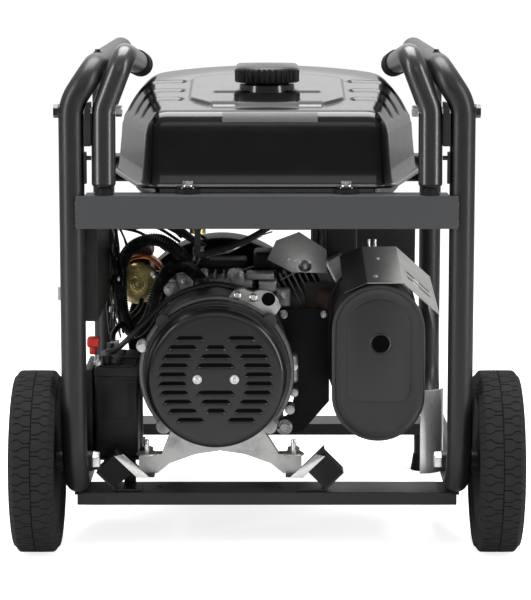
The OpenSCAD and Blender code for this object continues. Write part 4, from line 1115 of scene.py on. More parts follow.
@dataclass
class Tank:
    """Pressed fuel tank: top panel with ribs, walls, seam flange and pan."""

    near_half: float = 160.0
    far_half: float = 207.0
    taper: float = 240.0
    near_inset: float = 31.0
    length: float = 574.0
    seam_rise: float = 6.0
    wall_height: float = 102.0
    crown_height: float = 47.5
    margin: float = 9.0
    corner: float = 16.0
    shoulder: float = 20.0
    shoulder_drop: float = 16.0
    side_shoulder: float = 12.0
    neck: tuple[float, float, float] = (0.0, -139.0, 636.5)
    neck_profile: tuple[Flat, ...] = ((41, -34), (41, -13), (39.5, -11.5), (38.5, -10), (38.5, -1.2),
                                      (37.4, 0), (30, 0), (30, -34))
    pad_x: float = 106.0
    pad_y: float = 308.0
    pad_radius: float = 15.0
    flange: float = 8.0
    draft: float = 6.0
    side_ribs: tuple[float, ...] = (95.0, 156.0, 225.0)
    rib_depth: float = 8.0
    rib_half: float = 13.0
    rib_start: float = 112.0
    softness: float = 5.0
    label_x: float = 4.0
    label_half: float = 64.0
    across: int = 170
    along: int = 236
    box: Span = field(init=False)
    near: float = field(init=False)
    far: float = field(init=False)
    seam: float = field(init=False)
    wall_top: float = field(init=False)

    def __post_init__(self) -> None:
        """Takes heights and ends from the CAD tank."""
        self.box = Span.of("fuel_tank")
        self.near = self.box.low.y + self.near_inset
        self.far = self.near + self.length
        self.seam = Span.of("cross_plate").high.z + self.seam_rise
        self.wall_top = self.seam + self.wall_height

    def half(self, y: float) -> float:
        """Half width of the walls at y."""
        share = min(max((y - self.near) / self.taper, 0.0), 1.0)
        return self.near_half + (self.far_half - self.near_half) * share

    def inset(self, x: float, y: float) -> float:
        """Distance of a point inside the plan from the walls, rounded at the corners.

        Args:
            x: distance from the middle plane.
            y: place along the generator.

        Returns:
            The distance, below zero outside the walls.
        """
        side, end = self.half(y) - abs(x), min(y - self.near, self.far - y)
        if side < self.corner and end < self.corner:
            return self.corner - math.hypot(self.corner - side, self.corner - end)
        return min(side, end)

    def height(self, x: float, y: float) -> float:
        """Height of the top panel above a point of the plan.

        Args:
            x: distance from the middle plane.
            y: place along the generator.

        Returns:
            The height above the floor.
        """
        side = self.half(y) - self.margin - abs(x)
        planes = (
            (y - self.near - self.margin) * 0.134,
            side * 1.05,
            (self.far - self.margin - y) * 0.34,
            self.crown_height - 0.00048 * x * x - max(0.0, y - self.near - 330) * 0.045,
        )
        low = -self.softness * math.log(sum(math.exp(-p / self.softness) for p in planes))
        height = self.wall_top + max(low, -3.0)
        ends = min(y - self.near, self.far - y)
        more = rise(ends - self.half(y) + abs(x), -16, 26) * self.side_shoulder
        edge = min(max(self.inset(x, y), 0.0) / (self.shoulder + more), 1.0)
        height -= (self.shoulder_drop + more) * (1 - math.sqrt(max(1 - (1 - edge) ** 2, 0.0)))
        return height + self.relief(abs(x), y - self.near, side)

    def relief(self, x: float, ahead: float, side: float) -> float:
        """Pressed relief of the top: side ribs, middle panel, pads and ridges.

        Args:
            x: distance from the middle plane, always positive.
            ahead: distance behind the near wall.
            side: distance inside the shoulder.

        Returns:
            The height that the relief adds.
        """
        added = 0.0
        for place in self.side_ribs:
            off = math.hypot(max(self.rib_start + self.rib_half - x, 0.0), ahead - place)
            if off < self.rib_half:
                hollow = (0.5 + 0.5 * math.cos(math.pi * off / self.rib_half)) ** 0.8
                added -= self.rib_depth * rise(side, -6, 4) * hollow
        panel_half = 109.0 - 32.0 * rise(96 - ahead, 0, 60) - 62.0 * rise(ahead, 230, 278)
        added += 4.0 * rise(panel_half - x, 0, 5) * rise(ahead - 32, 0, 26)
        pad = min(x - 41, 77 - x, ahead - 38, 112 - ahead)
        added += 1.4 * rise(pad, 0, 2.5)
        ridge = max(abs(ahead - 125) / 2.6, (x - 72) / 2.0)
        added += 1.8 * (1 - rise(ridge, 0.4, 1.3))
        return added

    def place(self, u: float, v: float) -> Vector:
        """Point of the plan for a place in the unit square, with round corners.

        Args:
            u: place across, from -1 to 1.
            v: place along, from -1 to 1.

        Returns:
            The point, at height zero.
        """
        y = self.near + (v + 1) / 2 * (self.far - self.near)
        half = self.half(y)
        x = u * half
        over_x = abs(x) - (half - self.corner)
        over_y = max(self.near + self.corner - y, y - (self.far - self.corner))
        if over_x > 0 and over_y > 0:
            pull = max(over_x, over_y) / math.hypot(over_x, over_y)
            x = math.copysign(half - self.corner + over_x * pull, x)
            middle_y = self.near + self.corner if y < 0 else self.far - self.corner
            y = middle_y + math.copysign(over_y * pull, y - middle_y)
        return Vector((x, y, 0.0))

    def build(self) -> None:
        """Makes the tank and its small parts."""
        form = Form()
        bmesh.ops.create_grid(form.bm, x_segments=self.across, y_segments=self.along, size=1.0)
        for vert in form.bm.verts:
            spot = self.place(vert.co.x, vert.co.y)
            vert.co = Vector((spot.x, spot.y, self.height(spot.x, spot.y)))
        self._draw_walls(form)
        middle_y = Span.of("frame_right").mid.y
        for x, y in [(a * self.pad_x, middle_y + b * self.pad_y) for a in SIDES for b in SIDES]:
            form.rod((x, y, self.seam + 0.1), (x, y, self.seam + 3.8), self.pad_radius, 32, 0.5)
        form.lathe(self.neck_profile, Matrix.Translation(self.neck), 72)
        form.finish("tank_shell", Skin.TANK, ["fuel_tank"], smooth=44)
        self.add_label()

    def wall_steps(self) -> list[Flat]:
        """Steps of the walls, the flange and the pan, from the top down.

        Returns:
            Pairs of the distance outwards and the height from the top panel's edge.
        """
        foot, rim = self.draft, self.draft + self.flange
        walls = [(0.6, -15), (0.35 * foot, -35), (0.75 * foot, -60), (foot, -75), (foot + 2, -80.2)]
        flange = [(rim - 0.6, -81.9), (rim, -82.5), (rim, -85.1), (rim - 0.6, -85.9), (-8, -85.9)]
        return walls + flange + [(-11, -87.5), (-18, -108.5), (-28, -120.5), (-42, -123.5)]

    def _draw_walls(self, form: Form) -> None:
        """Draws the top panel's edge down to the walls, the seam flange and the pan, and closes the floor.

        Args:
            form: the mesh that holds the top panel.
        """
        edges = [e for e in form.bm.edges if e.is_boundary]
        start_z = self.wall_top - self.shoulder_drop
        outline = {}
        for vert in {v for e in edges for v in e.verts}:
            ahead, behind = [e.other_vert(vert).co - vert.co for e in vert.link_edges if e.is_boundary]
            along = (ahead - behind).normalized()
            normal = Vector((along.y, -along.x, 0)).normalized()
            middle = Vector((0, max(min(vert.co.y, 200.0), -200.0), vert.co.z))
            outline[vert] = (vert.co.copy(), normal if normal.dot(vert.co - middle) > 0 else -normal)
        for out, drop in self.wall_steps():
            made = bmesh.ops.extrude_edge_only(form.bm, edges=edges)["geom"]
            moved = {}
            for vert in set(only(made, BMVert)):
                parent = next(e.other_vert(vert) for e in vert.link_edges if e.other_vert(vert) in outline)
                spot, normal = moved[vert] = outline[parent]
                vert.co = Vector((spot.x, spot.y, start_z + drop)) + normal * out
            outline = moved
            edges = only(made, BMEdge)
        bmesh.ops.contextual_create(form.bm, geom=edges)

    def add_label(self) -> None:
        """Adds the blank foil plate along the near shoulder."""
        form = Form()
        bmesh.ops.create_grid(form.bm, x_segments=24, y_segments=8, size=1.0)
        for vert in form.bm.verts:
            angle = math.radians(4 + 52 * (vert.co.y + 1) / 2)
            x = self.label_x + vert.co.x * self.label_half
            behind = self.shoulder * (1 - math.cos(angle)) - 0.5 * math.cos(angle)
            rest = self.wall_top - self.shoulder_drop + (self.shoulder_drop + 0.5) * math.sin(angle) + 0.9
            vert.co = Vector((x, self.near + behind, rest))
        made = bmesh.ops.extrude_face_region(form.bm, geom=list(form.bm.faces))["geom"]
        bmesh.ops.translate(form.bm, verts=only(made, BMVert), vec=(0, -0.25, 0.2))
        form.finish("blank_plate", Skin.LABEL)


# ---- Wheels ----


@dataclass
class Wheel:
    """Moulded wheel's tyre with its carved tread and raised rings."""

    side: int
    radius: float = 125.0
    width: float = 60.0
    inner: float = 92.0
    pitches: int = 34
    groove: float = 1.9
    around: int = 816
    tread_steps: int = 54
    box: Span = field(init=False)

    def __post_init__(self) -> None:
        """Takes the wheel's place from the CAD tyre."""
        self.box = Span.of(f"tyre_{self.name}")

    @property
    def name(self) -> str:
        """Side of the wheel as a word."""
        return SIDES[self.side]

    def carved(self, across: float, turned: float) -> float:
        """Depth of the tread pattern.

        Args:
            across: place over the tread, from -1 to 1.
            turned: angle around the wheel as a share of a full turn.

        Returns:
            The depth below the tread's surface.
        """
        pitch = math.tau * self.radius / self.pitches
        phase = turned * self.pitches + (0.5 if across > 0 else 0.0)
        out = abs(across)
        neck = 0.13 + 0.19 * rise(out, 0.32, 0.55) - 0.1 * rise(out, 0.7, 0.86)
        off = abs(abs(phase - round(phase)) - neck) * pitch
        middle = out * self.width / 2
        line = min(off, middle) / 0.75
        return self.groove * max(0.0, 1 - line**3)

    def section(self) -> list[tuple[float, float, bool]]:
        """Section of the tyre's outside.

        Returns:
            Radius, place across and whether it carries tread, for each point.
        """
        half = self.width / 2
        points = [(self.inner, -half + 5, False), (self.inner + 6, -half + 1.5, False),
                  (self.inner + 16, -half, False), (self.radius - 14, -half + 0.3, False),
                  (self.radius - 9, -half + 1.0, False)]
        for k in range(self.tread_steps + 1):
            across = -1 + 2 * k / self.tread_steps
            edge = rise(abs(across), 0.72, 1.0)
            radius = self.radius - 0.4 * across**2 - 7.5 * edge**1.7
            points.append((radius, across * (half - 1.2 * (1 - edge)), True))
        mirrored = [(r, -x, flag) for r, x, flag in reversed(points[:5])]
        return points + mirrored

    def build(self) -> None:
        """Makes the tyre."""
        section = self.section()
        form = Form()
        bmesh.ops.create_grid(form.bm, x_segments=self.around, y_segments=len(section) - 1, size=1.0)
        for vert in form.bm.verts:
            turned = (vert.co.x + 1) / 2
            radius, across, tread = section[round((vert.co.y + 1) / 2 * (len(section) - 1))]
            if tread:
                radius -= self.carved(2 * across / self.width, turned)
            angle = math.tau * turned
            vert.co = Vector((across, radius * math.cos(angle), radius * math.sin(angle))) + self.box.mid
        bmesh.ops.remove_doubles(form.bm, verts=form.bm.verts, dist=0.01)
        bmesh.ops.contextual_create(form.bm, geom=[e for e in form.bm.edges if e.is_boundary])
        self._add_rings(form)
        form.finish(f"treaded_tyre_{self.name}", Skin.TYRE, [f"tyre_{self.name}"],
                    f"wheel_{self.name}", smooth=30)

    def _add_rings(self, form: Form) -> None:
        """Adds the raised rings of both side walls.

        Args:
            form: the mesh to add to.
        """
        for way in (-1, 1):
            face = self.box.mid + Vector((way * (self.width / 2 - 0.4), 0, 0))
            for ring in (self.inner + 9, self.radius - 16):
                profile = [(ring + 1.3, -1), (ring + 1.0, 0.35), (ring - 1.0, 0.35), (ring - 1.3, -1)]
                form.lathe(profile, Matrix.Translation(face) @ turn("Y", 90 * way), 120)


# ---- Alternator ----


@dataclass
class AlternatorCover:
    """Round end cover with pressed louvres, and its two screws."""

    box: Span = field(init=False)
    pitch: float = 12.6
    rows: int = 10
    louvre_height: float = 7.4
    louvre_depth: float = 5.0
    screw_place: float = 25.5

    def __post_init__(self) -> None:
        """Takes the cover's place from the CAD cover."""
        self.box = Span.of("alternator_cover")

    def place(self) -> Matrix:
        """Place of the cover: its axis points away from the alternator."""
        return upright((self.box.mid.x, self.box.low.y, self.box.mid.z))

    def spans(self) -> list[tuple[float, float, float]]:
        """Places of the louvres.

        Returns:
            Left end, right end and height of each one.
        """
        radius = self.box.size.x / 2
        found = []
        for k in range(self.rows):
            z = (k - (self.rows - 1) / 2) * self.pitch
            outer = math.sqrt((radius - 20.5) ** 2 - z * z)
            inner = max(16.0, 40 - 0.0075 * z * z)
            found += [(-outer, -inner, z), (inner, outer, z)]
            if self.pitch < abs(z) < 4 * self.pitch:
                found.append((12 - inner, inner - 12, z))
        return found

    def build(self) -> None:
        """Makes the cover and its screws."""
        radius, depth = self.box.size.x / 2, self.box.size.y
        profile = [(0, -0.2), (radius - 14, 0.0), (radius - 12.6, -0.1)]
        profile += [(radius - 12.5 + 10 * math.sin(math.radians(a)), -10 + 9.9 * math.cos(math.radians(a)))
                    for a in range(10, 91, 10)]
        profile += [(radius - 2.3, -20), (radius - 2.1, -28), (radius - 1.4, -29.5), (radius, -30),
                    (radius, -depth), (radius - 2.5, -depth), (radius - 4.6, -20), (0, -14)]
        form = Form()
        form.lathe(profile, self.place(), 160)
        for left, right, z in self.spans():
            self._add_louvre(form, left, right, z)
        # The second finish is the painted shade of the louvres' bands and slits.
        form.finish("louvred_cover", [Skin.COVER, Skin.PAINTED_SHADOW], ["alternator_cover"],
                    smooth=32)
        screws = Form()
        for side in SIDES:
            at = self.place() @ Vector((side * self.screw_place, 0, 0))
            screws.rod(at - 0.6 * NEAR, at + 1.2 * NEAR, 6.4, 32, 0.3)
            screws.cross_screw(at + 1.2 * NEAR, NEAR, 4.8)
        screws.finish("cover_screws", Skin.ZINC)

    def _add_louvre(self, form: Form, left: float, right: float, z: float) -> None:
        """Adds one pressed louvre: a hood that is round at its ends, whose middle band is painted shade, over
        a flat face of painted shadow where the slit opens.

        Args:
            form: the mesh to add to.
            left: its left end.
            right: its right end.
            z: its height from the cover's middle.
        """
        along, up = 18, 9
        grid = bmesh.ops.create_grid(form.bm, x_segments=along, y_segments=up, size=1.0)["verts"]
        for vert in grid:
            u, v = vert.co.x, (vert.co.y + 1) / 2
            end = max(0.0, 1 - abs(u) ** 5)
            half = (right - left) / 2 + self.louvre_height * (0.22 - 0.75 * v)
            x = (left + right) / 2 + u * half
            bulge = self.louvre_depth * end**0.5 * math.cos(math.radians(90) * v**1.3)
            lift = self.louvre_height * (v - 0.5)
            vert.co = Vector((x, z + lift, bulge - 0.15))
        # Faces of the hood's middle band take the second finish, near-black: painted shade of the hood's
        # underside.
        for face in {f for v in grid for f in v.link_faces}:
            middle = face.calc_center_median()
            inside = abs(middle.y - z - self.louvre_height * 0.08) < self.louvre_height * 0.27
            face.material_index = 1 if inside and left + 1.5 < middle.x < right - 1.5 else 0
        form.placed(grid, self.place())
        # A flat near-black face just off the cover below the hood: painted shadow of the slit.
        low, high = z - self.louvre_height * 0.62, z - self.louvre_height * 0.3
        slit = rounded((left - 1, low), (right + 1, high), 1.1, 3)
        face = form.bm.faces.new([form.bm.verts.new(self.place() @ Vector((x, y, 0.12))) for x, y in slit])
        face.material_index = 1


# ---- Exhaust ----


@dataclass
class Muffler:
    """Stadium-shaped muffler: drum, rolled end seams, pressed end panel and outlet."""

    drum_height: float = 219.0
    drum_middle: float = 257.5
    rib_place: float = 96.0
    outlet_rise: float = 27.0
    panel_inset: float = 21.0
    panel_foot: float = -38.0
    panel_corner: float = 16.0
    collar: tuple[Flat, ...] = ((15.6, -1), (15.2, 0.6), (14.2, 1.5), (13.4, 1.6), (12.9, 1.2), (12.9, -1))
    lip: tuple[Flat, ...] = ((14.6, -1), (14.6, 0.4), (13.9, 0.9), (13.1, 0.4), (13.1, -1))
    outlet: Vector = field(init=False)
    box: Span = field(init=False)

    def __post_init__(self) -> None:
        """Takes the muffler's place from the CAD muffler."""
        self.box = Span.of("muffler")
        self.outlet = Vector((self.box.mid.x + 3, self.box.low.y, self.drum_middle + self.outlet_rise))

    def outline(self, inset: float, steps: int = 28) -> list[Flat]:
        """Stadium outline about the drum's middle.

        Args:
            inset: distance inside the CAD muffler's outline.
            steps: stretches of each end arc.

        Returns:
            The corners, in X and Z.
        """
        half = self.box.size.x / 2
        straight = self.drum_height / 2 - half
        return (arc((0, straight), half - inset, 0, 180, steps)
                + arc((0, -straight), half - inset, 180, 360, steps))

    def levels(self) -> list[Flat]:
        """Sections of the drum from the near end to the far end.

        Returns:
            Pairs of the distance inside the outline and the place along the drum.
        """
        back, front = self.box.high.y, self.box.low.y
        rib = front + self.rib_place
        near_seam = [(14, front + 3.4), (7.2, front + 3.4), (6.2, front + 2.6), (5.4, front + 0.9),
                     (4.2, front), (2.4, front), (0.6, front + 1.0), (0.2, front + 3), (0.4, front + 6.5),
                     (1.6, front + 8.2), (3.2, front + 9.4)]
        far_seam = [(3.2, back - 9.4), (1.6, back - 8.2), (0.4, back - 6.5), (0.4, back - 2), (4, back),
                    (14, back - 2)]
        return near_seam + [(3.2, rib), (2.4, rib + 2), (2.4, rib + 5), (3.2, rib + 7)] + far_seam

    def build(self) -> None:
        """Makes the muffler."""
        form = Form()
        rings = [[form.bm.verts.new((self.box.mid.x + x, y, self.drum_middle + z))
                  for x, z in self.outline(inset)] for inset, y in self.levels()]
        for near, far in zip(rings, rings[1:]):
            for k in range(len(near)):
                j = (k + 1) % len(near)
                form.bm.faces.new((near[k], near[j], far[j], far[k]))
        form.bm.faces.new(rings[0])
        form.bm.faces.new(rings[-1][::-1])
        self._add_panel(form)
        form.lathe(self.collar, upright(self.outlet - 2.4 * NEAR), 48)
        form.finish("pressed_muffler", Skin.HEAT, ["muffler"], smooth=40)
        lip = Form()
        lip.lathe(self.lip, upright(self.outlet - NEAR), 48)
        lip.finish("outlet_lip", Skin.DARK_STEEL)
        # Near-black disc just inside the outlet: painted shadow of the pipe's depth.
        dark = Form()
        dark.rod(self.outlet - 1.2 * NEAR, self.outlet - 2.6 * NEAR, 12.0, 40)
        dark.finish("outlet_painted_shadow", Skin.PAINTED_SHADOW)

    def _add_panel(self, form: Form) -> None:
        """Adds the raised panel of the near end.

        Args:
            form: the mesh to add to.
        """
        middle = Vector((self.box.mid.x, self.box.low.y, self.drum_middle))
        top = self.drum_height / 2 - self.box.size.x / 2
        half, turning = self.box.size.x / 2 - self.panel_inset, self.panel_corner
        shape = arc((1, top), half, 0, 180, 20)
        shape += arc((1 - half + turning, self.panel_foot), turning, 180, 270, 6)
        shape += arc((1 + half - turning, self.panel_foot), turning, 270, 360, 6)
        form.soften(form.plate(shape, 1.6, upright(middle - 3.6 * NEAR)), 1.3, 3, 50)


@dataclass
class HeatShield:
    """Bent sheets over the muffler and beside it, with their screws and studs."""

    thickness: float = 1.4
    length: float = 213.0
    top: float = 367.0
    pitch: float = 6.5
    lift: float = 3.0
    line: tuple[Flat, ...] = ((-48, -14), (-16, 0), (34, 0), (84, -45), (84, -92))
    dark_leaf: int = 0
    slotted_leaf: int = 2
    slots: tuple[Flat, ...] = ((58, 70), (88, 100))
    slot_edge: float = 12.0
    screws: tuple[Flat, ...] = ((-4, 34), (3, 138))
    studs: tuple[Flat, ...] = ((150, 8), (159, 8))
    stud_foot: float = 372.0
    stud_top: float = 400.0
    deflector_height: float = 118.0
    deflector_foot: float = 96.0
    deflector_bend: float = 31.0

    def build(self) -> None:
        """Makes the shields."""
        drum = Span.of("muffler")
        at = shift(drum.mid.x, drum.low.y, self.top + self.lift) @ turn("X", self.pitch)
        form = Form()
        for k, ((x0, z0), (x1, z1)) in enumerate(zip(self.line, self.line[1:])):
            run = math.hypot(x1 - x0, z1 - z0)
            leaf = at @ shift(x0, 0, z0) @ turn("Y", -math.degrees(math.atan2(z1 - z0, x1 - x0)))
            before = len(form.bm.faces)
            if k == self.slotted_leaf:
                self._add_slotted(form, leaf, run)
            else:
                form.block((-0.2, 0, -self.thickness), (run + 0.2, self.length, 0), 0.5, leaf)
            form.bm.faces.ensure_lookup_table()
            for face in form.bm.faces[before:]:
                face.material_index = int(k == self.dark_leaf)
        for x, y in self.screws:
            form.cross_screw(at @ Vector((x, y, 0)), at.to_3x3() @ UP, 4.4)
        form.finish("folded_shield", [Skin.SHIELD, Skin.SHIELD_DARK], ["muffler_shield"])
        self._add_deflector(drum)
        rods = Form()
        for x, y in self.studs:
            rods.rod((x, y, self.stud_foot), (x, y, self.stud_top), 2.2, 16, 0.4)
        rods.finish("shield_studs", Skin.ZINC)

    def _add_slotted(self, form: Form, leaf: Matrix, run: float) -> None:
        """Adds the sloping leaf, in strips around its two slots.

        Args:
            form: the mesh to add to.
            leaf: place of the leaf.
            run: its width.
        """
        edges = [0.0] + [v for slot in self.slots for v in slot] + [self.length]
        for k, (start, end) in enumerate(zip(edges, edges[1:])):
            beside_slot = k % 2 == 1
            strips = [(0, self.slot_edge), (run - self.slot_edge, run)] if beside_slot else [(0, run)]
            lap = 1 if beside_slot else 0
            for left, right in strips:
                form.block((left, start - lap, -self.thickness), (right, end + lap, 0), 0.4, leaf)

    def _add_deflector(self, drum: Span) -> None:
        """Adds the bright bent sheet beside the muffler.

        Args:
            drum: box of the muffler.
        """
        form = Form()
        inner = self.deflector_bend - 1.6
        outline = band((drum.high.x - 1, drum.low.y + 62), self.deflector_bend, inner, -96, -8)
        form.plate(outline, self.deflector_height, shift(0, 0, self.deflector_foot), 0.3)
        form.finish("bright_deflector", Skin.GALVANISED)


# ---- Engine ----


@dataclass
class EndCasting:
    """Machined trim of the alternator's end bracket: rim, top flange, side lug, studs of the feet."""

    centre: tuple[float, float, float] = (-70.0, 0.0, 240.0)
    rim: float = 108.0
    bore: float = 99.0
    lug_angle: float = 160.0
    feet_middle: float = -65.0
    feet_half: float = 102.0
    flange_thickness: float = 9.0
    flange: tuple[Flat, ...] = ((-56, 328), (-54, 344), (-46, 355), (-33, 359), (-20, 353), (-8, 357),
                                (4, 355), (14, 345), (20, 332), (12, 320), (-20, 326))
    flange_screws: tuple[Flat, ...] = ((-41, 348), (-19, 345))
    flange_hole: Flat = (2, 343)
    box: Span = field(init=False)
    back: float = field(init=False)

    def __post_init__(self) -> None:
        """Takes the places of the bracket and of the stator behind it from the CAD nodes."""
        self.box = Span.of("alternator_bracket")
        self.back = Span.of("stator").low.y

    def build(self) -> None:
        """Makes the trim."""
        back, rim, bore, middle_y = self.back, self.rim, self.bore, self.box.mid.y
        ring = Form()
        profile = [(bore, -12), (rim - 3, -12), (rim - 1, -11), (rim, -8), (rim, 4), (rim - 1.4, 6),
                   (rim - 5, 6.4), (rim - 6, 3), (bore, 3)]
        ring.lathe(profile, upright((self.centre[0], back, self.centre[2])), 128)
        ring.finish("bracket_rim", Skin.FIN)
        form = Form()
        form.soften(form.plate(self.flange, self.flange_thickness, upright((0, back + 4, 0))), 2.2, 3, 30)
        way = math.radians(self.lug_angle)
        lug = Vector(self.centre) + Vector((math.cos(way), 0, math.sin(way))) * (rim + 1)
        form.rod((lug.x, back + 6, lug.z), (lug.x, back - 9, lug.z), 9, 28, 1.5)
        bolts = Form()
        for x, z in self.flange_screws:
            bolts.cross_screw((x, back - 5, z), NEAR, 6.2)
        bolts.hex_bolt((lug.x, back - 9, lug.z), NEAR, 11, 5, 7.5)
        for side in SIDES:
            x = self.feet_middle + side * self.feet_half
            form.rod((x, middle_y, 128.5), (x, middle_y, 131.2), 14.5, 32, 0.8)
            bolts.rod((x, middle_y, 131), (x, middle_y, 150), 4.0, 24, 0.6)
            strip = [(x - side * 6, 103), (x + side * 12, 103), (x + side * 43, 133), (x + side * 30, 136)]
            bolts.plate(strip, 2.0, upright((0, self.box.low.y - 2, 0)), 0.6)
        form.finish("bracket_trim", Skin.CASTING)
        bolts.finish("bracket_bolts", Skin.ZINC)
        # Near-black disc in the flange's hole: painted shadow.
        hole = Form()
        x, z = self.flange_hole
        hole.rod((x, back - 4.5, z), (x, back - 5.3, z), 9.5, 32)
        hole.finish("bracket_hole_shadow", Skin.PAINTED_SHADOW)


@dataclass
class Starter:
    """Trim of the starter motor: plated end cap, solenoid end, copper strap and nuts."""

    x: float = -192.0
    y: float = 31.0
    z: float = 332.0
    strap_radius: float = 36.0
    strap_length: float = 30.0
    cap_profile: tuple[Flat, ...] = ((0, 12.4), (5.4, 12.4), (6.2, 11.8), (6.6, 7.6), (9, 7.2), (9.6, 6.2),
                                     (10.4, 5.2), (20, 4.6), (27.8, 2.2), (31.2, -2.6), (32, -12), (29, -12))
    ends: tuple[Point, ...] = ((10, 24, 9), (-12, 27, 6))
    nuts: tuple[Flat, ...] = ((22, 14), (-22, -12), (18, -20))

    def build(self) -> None:
        """Makes the motor's trim."""
        x, y, z = self.x, self.y, self.z
        cap = Form()
        cap.lathe(self.cap_profile, upright((x, y - 5, z)), 64)
        cap.finish("starter_cap", Skin.GOLD_ZINC)
        strap = Form()
        outline = band((x + 6, z + 6), self.strap_radius, self.strap_radius - 5.6, 150, 18)
        strap.plate(outline, self.strap_length, upright((0, y + 26, 0)), 0.5)
        strap.finish("solenoid_strap", Skin.COPPER_PLATE)
        dark = Form()
        for across, up, radius in self.ends:
            dark.rod((x + across, y + 4, z + up), (x + across, y + 30, z + up), radius, 24, 1.0)
        dark.finish("solenoid_end", Skin.PLASTIC)
        nuts = Form()
        for across, up in self.nuts:
            nuts.hex_bolt((x + across, y - 5, z + up), NEAR, 7, 3.4, 5)
        nuts.finish("starter_nuts", Skin.ZINC)


@dataclass
class HeadPlates:
    """Sheets and castings around the cylinder head that show beside the alternator."""

    axis: tuple[float, float, float] = (-70.0, 67.0, 240.0)
    slope: float = 27.0
    sheet: float = 1.6
    sheet_outline: tuple[Flat, ...] = ((146, 103), (182, 99), (206, 57), (191, 26), (145, 51), (122, 84))
    sheet_ridge: Flat = (173, 62)
    ridge_height: float = 4.5
    sheet_bolts: tuple[Flat, ...] = ((150, 70), (158, 64))
    plate: float = 2.0
    plate_outline: tuple[Flat, ...] = ((14, 299), (92, 299), (92, 160), (52, 114), (24, 110), (12, 128),
                                       (34, 142), (40, 168), (14, 176))
    plate_bolts: tuple[Point, ...] = ((24, 290, 8.5), (84, 290, 7), (26, 121, 15))
    case_bosses: tuple[Point, ...] = ((-50, 350, 8), (-140, 330, 11), (-120, 343, 7), (24, 322, 7),
                                      (-92, 352, 6))
    boss_length: float = 32.0
    case_ribs: int = 7
    case_rib_pitch: float = 13.0
    bracket_lug: tuple[Flat, ...] = ((-52, 340), (-52, 356), (-47, 362), (-39, 362), (-34, 356), (-34, 336))
    stay_near: float = -200.0
    stay_bosses: tuple[Point, ...] = ((38, 208, 6), (32, 184, 7))
    spring_turns: int = 26
    spring_radius: float = 2.4
    spring_wire: float = 0.55

    def place(self) -> Matrix:
        """Frame of the cylinder: its X runs along the bore."""
        return Matrix.Translation(self.axis) @ turn("Y", -self.slope)

    def build(self) -> None:
        """Makes the plates, the lugs and their bolts."""
        self._add_deflector()
        self._add_plate()
        self._add_castings()
        self._add_linkage()

    def _add_deflector(self) -> None:
        """Adds the folded bright sheet over the fins."""
        at = self.place()
        front = Span.of("head_deflector").low.y - self.axis[1]
        form = Form()
        corners = [form.bm.verts.new(at @ Vector((x, front, z))) for x, z in self.sheet_outline]
        ridge_x, ridge_z = self.sheet_ridge
        peak = form.bm.verts.new(at @ Vector((ridge_x, front - self.ridge_height, ridge_z)))
        for k, here in enumerate(corners):
            form.bm.faces.new((here, corners[(k + 1) % len(corners)], peak))
        made = bmesh.ops.extrude_face_region(form.bm, geom=list(form.bm.faces))["geom"]
        bmesh.ops.translate(form.bm, verts=only(made, BMVert), vec=(0, self.sheet, 0))
        form.block((124, front, 47), (188, front + 88, 47 + self.sheet), 0.5, at)
        dimple = at @ Vector((168, front - 3.4, 52))
        form.lathe([(0, 1.6), (5, 1.2), (9, -0.4), (11, -2)], upright(dimple), 32)
        form.finish("head_sheet", Skin.SHEET, ["head_deflector"], smooth=24)
        bolts = Form()
        for x, z in self.sheet_bolts:
            bolts.hex_bolt(at @ Vector((x, front - self.sheet, z)), NEAR, 5.5, 3, 0)
        bolts.finish("sheet_bolts", Skin.ZINC)

    def _add_plate(self) -> None:
        """Adds the black blanking plate under the fins and its bolts."""
        y = Span.of("engine_cylinder").low.y - 7
        form = Form()
        form.soften(form.plate(self.plate_outline, self.plate, upright((0, y, 0))), 0.6, 2, 50)
        form.finish("blanking_plate", Skin.PLASTIC)
        bolts = Form()
        for x, z, across in self.plate_bolts:
            bolts.hex_bolt((x, y - self.plate, z), NEAR, across, 0.5 * across, 0.78 * across)
        bolts.finish("plate_bolts", Skin.ZINC)

    def _add_castings(self) -> None:
        """Adds the bosses, ribs and covers on the crankcase that show around the alternator."""
        y, stay = Span.of("crankcase").low.y, self.stay_near
        form = Form()
        for low, high, edge, segments in (
                ((-133, y + 2, 322), (-108, y + 40, 352), 3, 3),
                ((-104, y + 6, 330), (-20, y + 60, 346), 4, 3),
                ((-12, y - 4, 326), (14, y + 30, 342), 2.5, 3),
                ((-30, y - 2, 344), (10, y + 36, 353), 1.5, 2),
                ((14, y - 2, 304), (34, y + 24, 330), 3, 3),
                ((28, stay, 222), (44, stay + 24, 262), 5, 3)):
            form.block(low, high, edge, segments=segments)
        for x, z, radius in self.case_bosses:
            form.rod((x, y - 6, z), (x, y - 6 + self.boss_length, z), radius, 28, 1.6)
        for x in (-104 + self.case_rib_pitch * k for k in range(self.case_ribs)):
            form.block((x, y + 4, 344), (x + 3, y + 54, 352), 0.8)
        form.plate(self.bracket_lug, 7, upright((0, y - 6, 0)), 1.4)
        for x, z, radius in self.stay_bosses:
            form.rod((x, stay, z), (x, stay + 30, z), radius, 28, 1.5)
        form.finish("crankcase_bosses", Skin.CASTING)
        bolts = Form()
        for x, ahead, z, across in ((-43, y - 12, 353, 8), (24, y - 6, 322, 7), (-140, y - 6, 330, 9),
                                    (-120, y - 6, 343, 6), (37, stay, 246, 8)):
            bolts.hex_bolt((x, ahead, z), NEAR, across, 4, across * 0.75)
        bolts.finish("crankcase_bolts", Skin.ZINC)
        lid = Form()
        for low, high, edge, segments in (
                ((88, 50, 345), (134, 66, 452), 2.5, 3),
                ((0, 190, 392), (86, 240, 448), 5, 3),
                ((-20, 24, 352), (34, 90, 378), 6, 4),
                ((-112, 40, 352), (-30, 110, 364), 4, 3)):
            lid.block(low, high, edge, segments=segments)
        lid.rod((-96, 52, 364), (-96, 52, 372), 11, 32, 1.5)
        lid.finish("breather_box", Skin.PLASTIC)

